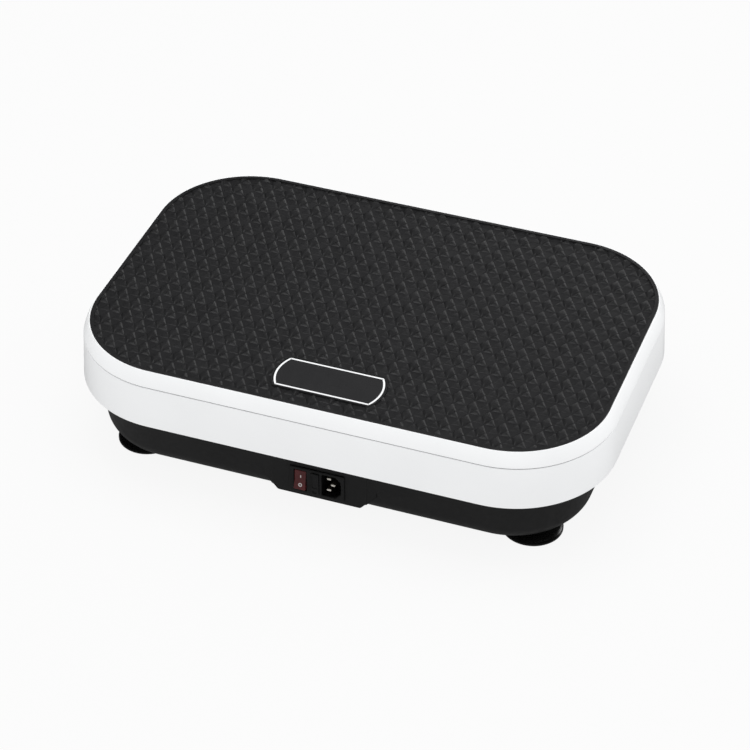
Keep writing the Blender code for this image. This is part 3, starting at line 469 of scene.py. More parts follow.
def combine(target: Piece, others: Iterable[Piece], how: Cut = Cut.AWAY,
            sharp_angle: float = 32.0) -> Piece:
    """Apply exact booleans to a solid, and remove the solids that it was combined with."""
    used = list(others)
    for other in used:
        modifier = target.modifiers.new(other.name, "BOOLEAN")
        modifier.operation = how.value
        modifier.solver = "EXACT"
        modifier.object = other
    bake(target)
    for other in used:
        bpy.data.objects.remove(other)
    return shade(target, sharp_angle)


def arc(centre: Point2, radius: float, start: float, end: float, steps: int) -> list[Point2]:
    """Points on an arc from the start angle to the end angle, both included."""
    angles = [start + (end - start) * i / steps for i in range(steps + 1)]
    return [(centre[0] + radius * cos(a), centre[1] + radius * sin(a)) for a in angles]


def rectangle(half_u: float, half_v: float, radius: float, steps: int = 6) -> list[Point2]:
    """A rounded rectangle, from the +u side round the +v side."""
    points = []
    for quarter, (side_u, side_v) in enumerate(((1, 1), (-1, 1), (-1, -1), (1, -1))):
        centre = (side_u * (half_u - radius), side_v * (half_v - radius))
        points += arc(centre, radius, quarter * pi / 2, (quarter + 1) * pi / 2, steps)
    return points


def filleted(corners: Sequence[Point2], radius: float, steps: int = 4) -> list[Point2]:
    """Round the sharp corners of a polygon.

    Args:
        corners: The polygon, in either direction.
        radius: The corner radius. It is less where two corners are close.
        steps: Segments for each corner.

    Returns:
        The rounded outline.
    """
    rounded: list[Point2] = []
    for i, corner in enumerate(corners):
        here = Vector(corner)
        into, out = here - Vector(corners[i - 1]), Vector(corners[(i + 1) % len(corners)]) - here
        turn = into.angle(out)
        if turn < radians(15):
            rounded.append(tuple(here))
            continue
        reach = min(radius * tan(turn / 2), 0.45 * into.length, 0.45 * out.length)
        start, end = here - into.normalized() * reach, here + out.normalized() * reach
        for t in (step / steps for step in range(steps + 1)):
            rounded.append(tuple((1 - t) ** 2 * start + 2 * t * (1 - t) * here + t ** 2 * end))
    return rounded


def grown(outline: Sequence[Point2], distance: float) -> list[Point2]:
    """Move an anticlockwise outline outwards by a distance, or inwards if it is negative."""
    moved = []
    for i, point in enumerate(outline):
        here = Vector(point)
        into = (here - Vector(outline[i - 1])).normalized()
        out = (Vector(outline[(i + 1) % len(outline)]) - here).normalized()
        normal = Vector((into.y + out.y, -into.x - out.x)).normalized()
        spread = max(0.4, normal.dot(Vector((out.y, -out.x))))
        moved.append(tuple(here + normal * (distance / spread)))
    return moved


def slab(name: str, outline: Sequence[Point2], axis: Axis, start: float, end: float,
         edge: float = 0.0, steps: int = 3, at: Point3 = (0.0, 0.0, 0.0)) -> Piece:
    """Push an anticlockwise outline along an axis, with rounded edges at both ends.

    Args:
        name: The object's name.
        outline: The outline in the axis's other two directions.
        axis: The axis to push along.
        start: Where it starts.
        end: Where it ends, above start.
        edge: Radius of the rounded edges. None are rounded at 0.
        steps: Segments of a rounded edge.
        at: Where to put the outline's origin.

    Returns:
        The new object.
    """
    levels = [(0.0, start), (0.0, end)]
    if edge:
        quarter = [pi / 2 * i / steps for i in range(steps + 1)]
        low = [(edge * (1 - sin(a)), start + edge * (1 - cos(a))) for a in quarter]
        levels = low + [(inset, start + end - w) for inset, w in low[::-1]]
    rings = []
    for inset, w in levels:
        ring = [axis.point(u, v, w) for u, v in (grown(outline, -inset) if inset else outline)]
        rings.append([tuple(Vector(p) + Vector(at)) for p in ring])
    return loft(name, rings)


def box(name: str, size: Point3, centre: Point3, edge: float = 0.0) -> Piece:
    """A block with rounded edges, pushed along Y."""
    outline = [(size[0] / 2, -size[2] / 2), (size[0] / 2, size[2] / 2),
               (-size[0] / 2, size[2] / 2), (-size[0] / 2, -size[2] / 2)]
    if edge:
        outline = filleted(outline, 1.6 * edge, 3)
    x, y, z = centre
    return slab(name, outline, Axis.Y, y - size[1] / 2, y + size[1] / 2, edge, at=(x, 0, z))


# ------------------------------------------------------------------------------ geometry nodes
class Scatter:
    """A geometry-nodes tree that repeats one template on a staggered lattice.

    Its inputs are Template, Material, Columns, Rows, Column Pitch, Row Pitch, Stagger, Turn and
    Shift. Odd columns move up by Stagger row pitches, and each copy is turned by Turn more.
    """

    INPUTS = {"Template": "NodeSocketObject", "Material": "NodeSocketMaterial",
              "Columns": "NodeSocketInt", "Rows": "NodeSocketInt",
              "Column Pitch": "NodeSocketFloat", "Row Pitch": "NodeSocketFloat",
              "Stagger": "NodeSocketFloat", "Turn": "NodeSocketFloat",
              "Shift": "NodeSocketVector"}

    def __init__(self) -> None:
        """Build the tree."""
        self.tree = bpy.data.node_groups.new("staggered_lattice", "GeometryNodeTree")
        for name, kind in self.INPUTS.items():
            self.tree.interface.new_socket(name, in_out="INPUT", socket_type=kind)
        self.tree.interface.new_socket("Geometry", in_out="OUTPUT",
                                       socket_type="NodeSocketGeometry")
        self._wire()

    def _math(self, operation: str, first: Source, second: Source) -> Socket:
        """Combine two numbers."""
        return add_node(self.tree, "ShaderNodeMath", {"operation": operation},
                        {0: first, 1: second}).outputs[0]

    def _wire(self) -> None:
        """Connect lattice, stagger, copies, and material."""
        tree = self.tree
        given = tree.nodes.new("NodeGroupInput").outputs
        width = self._math("MULTIPLY", self._math("SUBTRACT", given["Columns"], 1.0),
                           given["Column Pitch"])
        depth = self._math("MULTIPLY", self._math("SUBTRACT", given["Rows"], 1.0),
                           given["Row Pitch"])
        grid = add_node(tree, "GeometryNodeMeshGrid", links={
            "Size X": width, "Size Y": depth, "Vertices X": given["Columns"],
            "Vertices Y": given["Rows"]})
        spot = add_node(tree, "GeometryNodeInputPosition").outputs[0]
        x = add_node(tree, "ShaderNodeSeparateXYZ", links={0: spot}).outputs["X"]
        from_left = self._math("ADD", x, self._math("MULTIPLY", width, 0.5))
        column = self._math("ROUND", self._math("DIVIDE", from_left, given["Column Pitch"]), 0.0)
        odd = self._math("MODULO", column, 2.0)
        lift = self._math("MULTIPLY", self._math("MULTIPLY", odd, given["Stagger"]),
                          given["Row Pitch"])
        offset = add_node(tree, "ShaderNodeCombineXYZ", links={"Y": lift}).outputs[0]
        move = add_node(tree, "ShaderNodeVectorMath", {"operation": "ADD"},
                        {0: offset, 1: given["Shift"]}).outputs[0]
        placed = add_node(tree, "GeometryNodeSetPosition",
                          links={"Geometry": grid.outputs["Mesh"], "Offset": move})
        template = add_node(tree, "GeometryNodeObjectInfo", links={"Object": given["Template"]})
        index = add_node(tree, "GeometryNodeInputIndex").outputs[0]
        turn = add_node(tree, "ShaderNodeCombineXYZ",
                        links={"Z": self._math("MULTIPLY", index, given["Turn"])}).outputs[0]
        copies = add_node(tree, "GeometryNodeInstanceOnPoints", links={
            "Points": placed.outputs["Geometry"], "Instance": template.outputs["Geometry"],
            "Rotation": turn})
        real = add_node(tree, "GeometryNodeRealizeInstances",
                        links={"Geometry": copies.outputs["Instances"]})
        dressed = add_node(tree, "GeometryNodeSetMaterial", links={
            "Geometry": real.outputs["Geometry"], "Material": given["Material"]})
        add_node(tree, "NodeGroupOutput", links={"Geometry": dressed.outputs["Geometry"]})

    def grow(self, name: str, template: Piece, finish: Finish, columns: int, rows: int,
             pitch: Point2, shift: Point3 = (0.0, 0.0, 0.0), stagger: float = 0.0,
             turn: float = 0.0) -> Piece:
        """Repeat a template on the lattice as one plain mesh, and remove the template.

        Args:
            name: The new object's name.
            template: The piece to repeat, about the origin.
            finish: The finish of every copy.
            columns: Copies along X.
            rows: Copies along Y.
            pitch: Spacing along X and Y.
            shift: Where the lattice's middle goes.
            stagger: Share of a row pitch that odd columns move by.
            turn: Angle in radians by which each copy is turned more than the one before.

        Returns:
            The plain mesh object.
        """
        host = new_object(name, bpy.data.meshes.new(name))
        modifier = host.modifiers.new("grow", "NODES")
        modifier.node_group = self.tree
        values = {"Template": template, "Material": finish.material(), "Columns": columns,
                  "Rows": rows, "Column Pitch": pitch[0], "Row Pitch": pitch[1],
                  "Stagger": stagger, "Turn": turn, "Shift": shift}
        for item in self.tree.interface.items_tree:
            if item.item_type == "SOCKET" and item.in_out == "INPUT":
                modifier[item.identifier] = values[item.name]
        bake(host)
        bpy.data.objects.remove(template)
        return host

    def corners(self, name: str, template: Piece, finish: Finish, at: Point2,
                turn: float = 0.0) -> Piece:
        """Repeat a template at the four points (+-x, +-y), as one plain mesh."""
        return self.grow(name, template, finish, 2, 2, (2 * at[0], 2 * at[1]), turn=turn)


def dress(piece: Piece, finish: Finish, body: Body,
          stands_for: Sequence[str] = ()) -> Piece:
    """Give a finished piece its finish's material and its body, and hide the CAD nodes that it
    stands for.
    """
    piece.data.materials.clear()
    piece.data.materials.append(finish.material())
    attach(piece, body.value)
    if stands_for:
        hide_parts(*stands_for)
    LOG.info("%s: %s on %s, %d faces", piece.name, finish.slot, body.value,
             len(piece.data.polygons))
    return piece


def corner_names(stem: str) -> list[str]:
    """The names of the four CAD nodes that repeat a piece in the plate's corners."""
    return [f"{stem}_{end}_{side}" for end in ("front", "rear") for side in ("left", "right")]


# --------------------------------------------------------------------------------- sub-assemblies
@dataclass
class PlateOutline:
    """The plate's plan outline, which every level of cover and tub repeats with an inset."""

    length: float = 0.500
    width: float = 0.337
    corner_radius: float = 0.0955
    corner_steps: int = 40

    def plan(self, inset: float) -> list[Point2]:
        """The outline set in by a distance."""
        return rectangle(self.length / 2 - inset, self.width / 2 - inset,
                         self.corner_radius - inset, self.corner_steps)

    def ring(self, inset: float, z: float) -> Ring:
        """The outline set in by a distance, at a height."""
        return [(x, y, z) for x, y in self.plan(inset)]

    def skin(self, name: str, profile: Sequence[Point2], capped: bool = False) -> Piece:
        """Skin a profile of (inset, z) points round the outline."""
        return loft(name, [self.ring(inset, z) for inset, z in profile], capped)


@dataclass
class Cover:
    """The white two-piece cover: a slightly tapered skirt and a top shell with a soft shoulder."""

    outline: PlateOutline
    skirt_bottom_z: float = 0.0688
    seam_z: float = 0.1110
    seam_inset: float = 0.0021
    seam_groove: float = 0.0009
    # Size of the dark strip of painted shade in the seam.
    seam_shade_depth: float = 0.0007
    seam_shade_height: float = 0.0012
    rim_inset: float = 0.0077
    rim_z: float = 0.1253
    recess_inset: float = 0.0086
    shelf_z: float = 0.1209
    ceiling_z: float = 0.1179
    haunch_z: float = 0.1140
    run_power: float = 1.85
    drop_power: float = 1.7
    window: Point3 = (0.040, 0.015, 0.003)
    wall: float = 0.003
    edge: float = 0.0003
    lip: float = 0.0005

    def skirt(self) -> Piece:
        """The side skirt, with rounded lower and upper edges."""
        top, low = self.seam_z - self.seam_groove / 2, self.skirt_bottom_z
        fillet = arc((self.edge, low + self.edge), self.edge, -pi / 2, -pi, 6)
        upper = arc((self.seam_inset + self.lip, top - self.lip), self.lip, pi, pi / 2, 4)
        inner = [(self.seam_inset + self.wall, top), (self.wall, low + self.edge),
                 (self.wall - 0.0006, low)]
        return self.outline.skin("side_skirt_moulding", fillet + upper + inner)

    def shoulder(self, steps: int = 20) -> list[Point2]:
        """Outer face of the top shell from its rim down to the seam, as a full quarter oval."""
        low = self.seam_z + self.seam_groove / 2
        run, drop = self.rim_inset - self.seam_inset, self.rim_z - low
        return [(self.rim_inset - run * sin(swing) ** self.run_power,
                 low + drop * cos(swing) ** self.drop_power)
                for swing in (pi / 2 * i / steps for i in range(steps + 1))]

    def top_shell(self) -> Piece:
        """The top shell, with the shelf that the mat lies on and the display's opening."""
        low = self.seam_z + self.seam_groove / 2
        outer = [(self.recess_inset, self.shelf_z), (self.recess_inset, self.rim_z - 0.0003),
                 (self.recess_inset - 0.0003, self.rim_z - 0.00005)] + self.shoulder()
        inner = [(self.seam_inset + self.wall, low),
                 (self.seam_inset + self.wall + 0.0006, self.haunch_z),
                 (self.recess_inset - 0.0007, self.ceiling_z)]
        shell = self.outline.skin("top_shell_moulding", outer + inner, capped=True)
        opening = slab("window", rectangle(*self.window), Axis.Z, self.ceiling_z - 0.002,
                       self.shelf_z + 0.002, at=(0, DisplayWindow.y, 0))
        return combine(shell, [opening])

    def gasket(self) -> Piece:
        """A dark strip behind the seam's groove: painted shade that darkens the seam line."""
        face, back = self.seam_inset + self.seam_shade_depth, self.seam_inset + self.wall - 0.0002
        half = self.seam_shade_height / 2
        low, high = self.seam_z - half, self.seam_z + half
        return self.outline.skin("seam_gasket", [(face, low), (face, high), (back, high),
                                                 (back, low)])

    def make(self) -> None:
        """Build and dress both pieces, and the dark strip of painted shade in the seam between
        them.
        """
        # Painted shade: a dark strip set in the seam's groove to darken it.
        dress(self.gasket(), BUFFER_RUBBER, Body.PLATFORM)
        dress(self.skirt(), WHITE_ABS, Body.PLATFORM, ["side_skirt"])
        dress(self.top_shell(), WHITE_ABS, Body.PLATFORM, ["top_shell"])


@dataclass
class DisplayWindow:
    """The smoked window in the mat, and the white line printed round it."""

    y: float = -0.1191
    half_x: float = 0.050
    half_y: float = 0.02035
    straight_half: float = 0.0439
    low_z: float = 0.1212
    top_z: float = 0.1253
    line_inset: float = 0.0005
    line_width: float = 0.0017
    ink: float = 0.0001
    corner: float = 0.0012

    def outline(self, grow: float = 0.0) -> list[Point2]:
        """Two straight long sides, closed by shallow bulging ends, moved out by grow."""
        rise = self.half_x - self.straight_half
        radius = (self.half_y ** 2 + rise ** 2) / (2 * rise)
        centre = self.half_x - radius
        sweep = acos((self.straight_half - centre) / radius)
        right = arc((centre, 0), radius, -sweep, sweep, 24)
        sharp = right + [(-x, -y) for x, y in right]
        return grown(filleted(sharp, self.corner, 5), grow)

    def lens(self) -> Piece:
        """The window, with a polished edge."""
        return slab("display_window", self.outline(), Axis.Z, self.low_z, self.top_z, 0.0004, 4,
                    at=(0, self.y, 0))

    def line(self) -> Piece:
        """The printed line, as a thin closed ring on the window's face."""
        low, high = self.top_z - self.ink / 2, self.top_z + self.ink / 2
        outer, inner = -self.line_inset, -self.line_inset - self.line_width
        rings = [[(x, y + self.y, z) for x, y in self.outline(grow)] for grow, z in
                 ((outer, low), (outer, high), (inner, high), (inner, low))]
        return loft("display_line", rings, capped=False)

    def make(self) -> None:
        """Build and dress the window and its line."""
        dress(self.lens(), SMOKED_ACRYLIC, Body.PLATFORM, ["display_lens"])
        dress(self.line(), WHITE_INK, Body.PLATFORM)


@dataclass
class StandingMat:
    """The rubber mat: a plain border round a field of raised lozenges and three-sided studs.

    The studs stand on a triangular net. Two triangles of every six join into a lozenge, one
    holds a tall stud, one a low stud, and the last two stay flat.
    """

    outline: PlateOutline
    display: DisplayWindow
    scatter: Scatter
    inset: float = 0.0087
    bottom_z: float = 0.1212
    top_z: float = 0.1257
    border: float = 0.0034
    display_border: float = 0.0018
    field_depth: float = 0.0018
    column_pitch: float = 0.016722
    row_pitch: float = 0.01937
    middle_lozenge: Point2 = (-0.0058, -0.0023)
    lozenge_height: float = 0.0014
    lozenge_bevel: float = 0.0016
    tall_stud: float = 0.0018
    low_stud: float = 0.0006
    groove: float = 0.00025
    sunk: float = 0.0003
    edge: float = 0.0003
    columns: int = 31
    rows: int = 19
    pattern_angle: float = 44.0

    @property
    def side(self) -> float:
        """Side of the net's triangles."""
        return self.column_pitch / 1.5

    def body(self) -> Piece:
        """The mat's sheet, with its rounded edge, sunk field and display opening."""
        wall = arc((self.inset + self.edge, self.top_z - self.edge), self.edge, pi, pi / 2, 5)
        rings = [self.outline.ring(self.inset, self.bottom_z)]
        rings += [self.outline.ring(i, z) for i, z in wall]
        sheet = loft("mat_sheet", rings)
        field_floor = self.top_z - self.field_depth
        opening = slab("opening", self.display.outline(0.0003), Axis.Z, self.bottom_z - 0.002,
                       self.top_z + 0.002, at=(0, self.display.y, 0))
        return combine(sheet, [self.field("sink", field_floor), opening])

    def field(self, name: str, low_z: float) -> Piece:
        """The patterned area as a solid from low_z to above the mat, less the display's border."""
        border = self.inset + self.border
        area = slab(name, self.outline.plan(border), Axis.Z, low_z, self.top_z + 0.003)
        window = slab("window", self.display.outline(self.display_border), Axis.Z,
                      low_z - 0.002, self.top_z + 0.005, at=(0, self.display.y, 0))
        return combine(area, [window])

    def stud(self, name: str, corners: Sequence[Point2], height: float, bevel: float,
             crown: float, soften: float) -> Piece:
        """A raised block on a polygon: a sloped edge, a rounded shoulder and a crowned top.

        Args:
            name: The object's name.
            corners: The block's corners on the floor of the field, anticlockwise.
            height: Height of the shoulder's end above that floor.
            bevel: Width of the sloped edge.
            crown: Height of the middle above the shoulder.
            soften: Radius of the block's corners in plan.

        Returns:
            The block, about the field's floor.
        """
        floor = self.top_z - self.field_depth
        levels = [(0.0, -self.sunk), (0.0, 0.0), (0.72 * bevel, 0.80 * height),
                  (1.05 * bevel, height)]
        rings = []
        for inset, z in levels:
            outline = filleted(grown(corners, -self.groove - inset), soften, 2)
            rings.append([(x, y, floor + z) for x, y in outline])
        middle = sum((Vector(corner) for corner in corners), Vector((0, 0))) / len(corners)

        def fill(shape: Shape) -> None:
            loops = [[shape.verts.new(point) for point in ring] for ring in rings]
            top = shape.verts.new((middle.x, middle.y, floor + height + crown))
            count = len(rings[0])
            for i in range(count):
                j = (i + 1) % count
                for lower, upper in zip(loops, loops[1:]):
                    shape.faces.new((lower[i], lower[j], upper[j], upper[i]))
                shape.faces.new((loops[-1][i], loops[-1][j], top))
            shape.faces.new(loops[0])
        return built(name, fill, 28)

    def cell(self) -> Piece:
        """One lozenge with its two studs, about the lozenge's middle."""
        half, tall = self.side / 2, self.row_pitch / 2
        lozenge = self.stud("cell", [(half, 0), (0, tall), (-half, 0), (0, -tall)],
                            self.lozenge_height, self.lozenge_bevel, 0.00005, 0.0009)
        right = [(half, 0), (0, -tall), (2 * half, -tall)]
        left = [(-half, 0), (-2 * half, -tall), (0, -tall)]
        parts = [lozenge,
                 self.stud("tall", right, 0.0003, 0.0004, self.tall_stud - 0.0003, 0.0008),
                 self.stud("low", left, 0.0002, 0.0004, self.low_stud - 0.0002, 0.0008)]
        whole = bmesh.new()
        for part in parts:
            whole.from_mesh(part.data)
        whole.to_mesh(lozenge.data)
        whole.free()
        for part in parts[1:]:
            bpy.data.objects.remove(part)
        return shade(lozenge, self.pattern_angle)

    def pattern(self) -> Piece:
        """The whole field of lozenges and studs, cut off along the border."""
        relief = self.scatter.grow("mat_lozenges", self.cell(), MAT_RUBBER, self.columns,
                                   self.rows, (self.column_pitch, self.row_pitch),
                                   (*self.middle_lozenge, 0.0), stagger=0.5)
        trim = self.field("trim", self.top_z - self.field_depth - 2 * self.sunk)
        return combine(relief, [trim], Cut.KEEP_COMMON, self.pattern_angle)

    def make(self) -> None:
        """Build and dress the sheet and its pattern."""
        dress(self.body(), MAT_RUBBER, Body.PLATFORM, ["mat"])
        dress(self.pattern(), MAT_RUBBER, Body.PLATFORM)


@dataclass
class BaseTub:
    """The black lower housing, with its inlet panel, vents and screw wells."""

    outline: PlateOutline
    scatter: Scatter
    floor_z: float = 0.0108
    rim_z: float = 0.078
    taper_top_z: float = 0.070
    taper: float = radians(7.9)
    inset: float = 0.0133
    edge_radius: float = 0.0218
    wall: float = 0.003
    panel_x: float = 0.0025
    panel_y: float = -0.1543
    panel_half_low: float = 0.0379
    panel_half_high: float = 0.0449
    panel_low_z: float = 0.0198
    panel_step_z: float = 0.0253
    panel_top_z: float = 0.0670
    panel_face_low_z: float = 0.042
    panel_run_out: Point3 = (0.008, 0.003, 0.008)
    panel_flare: float = 0.012
    panel_depth: float = 0.022
    panel_softening: float = 0.0003
    module_at: Point2 = (0.0010, 0.0375)
    module_hole: Point2 = (0.0482, 0.0266)
    foot_at: Point2 = (0.1852, 0.1027)
    foot_hole_radius: float = 0.0093
    screw_at: Point2 = (0.150, 0.095)
    screw_hole_radius: float = 0.0023
    screw_well_radius: float = 0.0051
    screw_seat: float = 0.0016
    vent: Point3 = (0.00125, 0.034, 0.0012)
    vent_x: float = 0.1855
    vent_pitch: float = 0.006
    vents_a_side: int = 4

    def wall_inset(self, z: float) -> float:
        """Inset of the tapered wall at a height."""
        return self.inset + max(0.0, self.taper_top_z - z) * tan(self.taper)

    def lower_edge(self, radius: float, steps: int) -> list[Point2]:
        """The big rounded lower edge as (inset, z), from the floor up to the wall."""
        centre_z = self.floor_z + self.edge_radius
        tangent_z = centre_z - self.edge_radius * sin(self.taper)
        centre = self.wall_inset(tangent_z) + self.edge_radius * cos(self.taper)
        sweep = pi / 2 - self.taper
        return [(centre - radius * sin(swing), centre_z - radius * cos(swing))
                for swing in (sweep * i / steps for i in range(steps + 1))]

    def shell(self) -> Piece:
        """The tapered, hollow tub without its openings."""
        bend = [(self.wall_inset(self.taper_top_z - 0.002), self.taper_top_z - 0.002),
                (self.inset + 0.00015, self.taper_top_z), (self.inset, self.taper_top_z + 0.002)]
        outer = self.lower_edge(self.edge_radius, 14) + bend
        outer += [(self.inset, self.rim_z - 0.0006), (self.inset + 0.0006, self.rim_z)]
        inner = self.lower_edge(self.edge_radius - self.wall, 8)
        inner += [(self.inset + self.wall, self.taper_top_z), (self.inset + self.wall, self.rim_z)]
        return self.outline.skin("base_tub_moulding", outer + inner[::-1], capped=True)

    def panel_outline(self, steps: int = 14) -> list[Point2]:
        """The inlet panel's outline in XZ, with an eased step on each side, anticlockwise."""
        step = []
        for t in (i / steps for i in range(steps + 1)):
            ease = (1 - cos(pi * t)) / 2
            step.append((self.panel_half_low + (self.panel_half_high - self.panel_half_low) * t,
                         self.panel_low_z + (self.panel_step_z - self.panel_low_z) * ease))
        high = self.panel_half_high
        top = [(high, self.panel_top_z), (-high, self.panel_top_z)]
        return step + top + [(-x, z) for x, z in step[::-1]]

    def panel_meets_wall(self) -> Ring:
        """The ring where the panel's sides run out into the tub: wider, deeper and higher."""
        wide, deep, high = self.panel_run_out
        step_width = self.panel_half_high - self.panel_half_low
        ring = []
        for x, z in self.panel_outline():
            share = max(0.0, abs(x) - self.panel_half_low) / step_width
            ring.append((x + (wide if x > 0 else -wide) * share, self.panel_y + deep,
                         min(z + high * share, self.panel_top_z)))
        return ring

    def panel(self) -> Piece:
        """The block behind the inlet panel, with a softened front edge."""
        soft = self.panel_softening
        spread = 1 + self.panel_flare / self.panel_half_high
        rings = []
        for a in (pi / 2 * i / 4 for i in range(5)):
            inset, y = soft * (1 - sin(a)), self.panel_y + soft * (1 - cos(a))
            rings.append([(x, y, z) for x, z in grown(self.panel_outline(), -inset)])
        rings.append(self.panel_meets_wall())
        rings.append([(x * spread, self.panel_y + self.panel_depth, z)
                      for x, z in self.panel_outline()])
        moved = [[(x + self.panel_x, y, z) for x, y, z in ring] for ring in rings]
        return loft("panel", moved)

    def openings(self) -> list[Piece]:
        """Solids to cut away: panel face, panel pocket, module hole, wells, foot holes, vents."""
        top, base = self.panel_top_z - 0.001, self.panel_face_low_z
        face = box("face", (2 * self.panel_half_high - 0.004, 0.03, top - base),
                   (self.panel_x, self.panel_y - 0.015, (top + base) / 2))
        low, high = self.panel_low_z + self.wall, self.panel_top_z - self.wall
        pocket = box("pocket", (2 * (self.panel_half_low - self.wall), 0.03, high - low),
                     (self.panel_x, self.panel_y + self.wall + 0.015, (low + high) / 2))
        hole = box("hole", (self.module_hole[0], 0.02, self.module_hole[1]),
                   (self.module_at[0], self.panel_y, self.module_at[1]))
        neck = turned("neck", [(0, 0.02), (self.foot_hole_radius, 0.02),
                               (self.foot_hole_radius, 0.001), (0, 0.001)], 40)
        necks = self.scatter.corners("necks", neck, BLACK_ABS, self.foot_at)
        seat = self.floor_z + self.screw_seat
        narrow, wide = self.screw_hole_radius, self.screw_well_radius
        well = turned("well", [(0, 0.024), (narrow, 0.024), (narrow, seat), (wide, seat),
                               (wide, 0.006), (0, 0.006)], 24)
        wells = self.scatter.corners("wells", well, BLACK_ABS, self.screw_at)
        vents = []
        for side in (-1, 1):
            slot = slab("slot", rectangle(*self.vent, 4), Axis.Z, self.floor_z - 0.002,
                        self.floor_z + 0.006)
            vents.append(self.scatter.grow(f"vents{side}", slot, BLACK_ABS, self.vents_a_side, 1,
                                           (self.vent_pitch, 1.0), (side * self.vent_x, 0, 0)))
        return [face, pocket, hole, necks, wells, *vents]

    def make(self) -> None:
        """Build and dress the tub."""
        tub = combine(self.shell(), [self.panel()], Cut.ADD)
        dress(combine(tub, self.openings()), BLACK_ABS, Body.BASE, ["base_tub"])


@dataclass
class SuctionFeet:
    """Four moulded suction cups with a waist, a flared skirt and a hollow underside."""

    scatter: Scatter
    at: Point2 = (0.1852, 0.1027)
    radius: float = 0.0276
    neck: float = 0.0090
    floor_z: float = 0.0108

    def profile(self) -> list[Point2]:
        """The cup's section from the top of its neck round to the middle of its hollow."""
        top = self.floor_z - 0.0003
        flare = [(0.0160, 0.0082), (0.0186, 0.0067), (0.0215, 0.0056), (0.0240, 0.0047),
                 (0.0262, 0.0037), (0.0269, 0.0030), (self.radius, 0.0020), (self.radius, 0.0004),
                 (self.radius - 0.0004, 0.0)]
        hollow = [(0.0228, 0.0), (0.0190, 0.0014), (0.0150, 0.0024), (0.0080, 0.0031), (0, 0.0034)]
        return ([(0, 0.0148), (self.neck - 0.001, 0.0142), (self.neck, 0.0136), (self.neck, top),
                 (0.0132, top), (0.0140, top - 0.0006), (0.0148, 0.0092)] + flare + hollow)

    def make(self) -> None:
        """Build the four cups as one piece and dress it."""
        cup = turned("cup", self.profile(), 64)
        feet = self.scatter.corners("suction_cups", cup, FOOT_RUBBER, self.at)
        dress(shade(feet), FOOT_RUBBER, Body.BASE, corner_names("suction_foot"))


@dataclass
class BaseScrews:
    """Four pan-head screws with a cross recess, under the tub."""

    scatter: Scatter
    at: Point2 = (0.150, 0.095)
    low_z: float = 0.0109
    head_radius: float = 0.0045
    head_height: float = 0.0012
    shank_radius: float = 0.0020
    thread_pitch: float = 0.0007
    thread_depth: float = 0.0003
    recess: Point3 = (0.0048, 0.0009, 0.0014)
    tip_z: float = 0.0191

    def screw(self) -> Piece:
        """One screw with ridges along its shank and a cross in its head."""
        shoulder, core = self.low_z + self.head_height, self.shank_radius - self.thread_depth
        threads = []
        z = self.tip_z
        while z > shoulder + 2 * self.thread_pitch:
            threads += [(core, z), (self.shank_radius, z - self.thread_pitch / 2)]
            z -= self.thread_pitch
        profile = [(0, self.tip_z)] + threads
        head, low = self.head_radius, self.low_z
        profile += [(core, shoulder), (head, shoulder), (head, low + 0.0005),
                    (head - 0.0004, low + 0.0001), (head - 0.0010, low), (0, low)]
        body = turned("screw", profile, 28)
        long, narrow, deep = self.recess
        slots = [box(name, size, (0, 0, self.low_z)) for name, size in
                 (("slot0", (long, narrow, deep)), ("slot1", (narrow, long, deep)))]
        return combine(body, slots)

    def make(self) -> None:
        """Build the four screws as one piece and dress it."""
        screws = self.scatter.corners("base_screws", self.screw(), ZINC_STEEL, self.at, 0.6)
        dress(shade(screws), ZINC_STEEL, Body.BASE, corner_names("base_screw"))


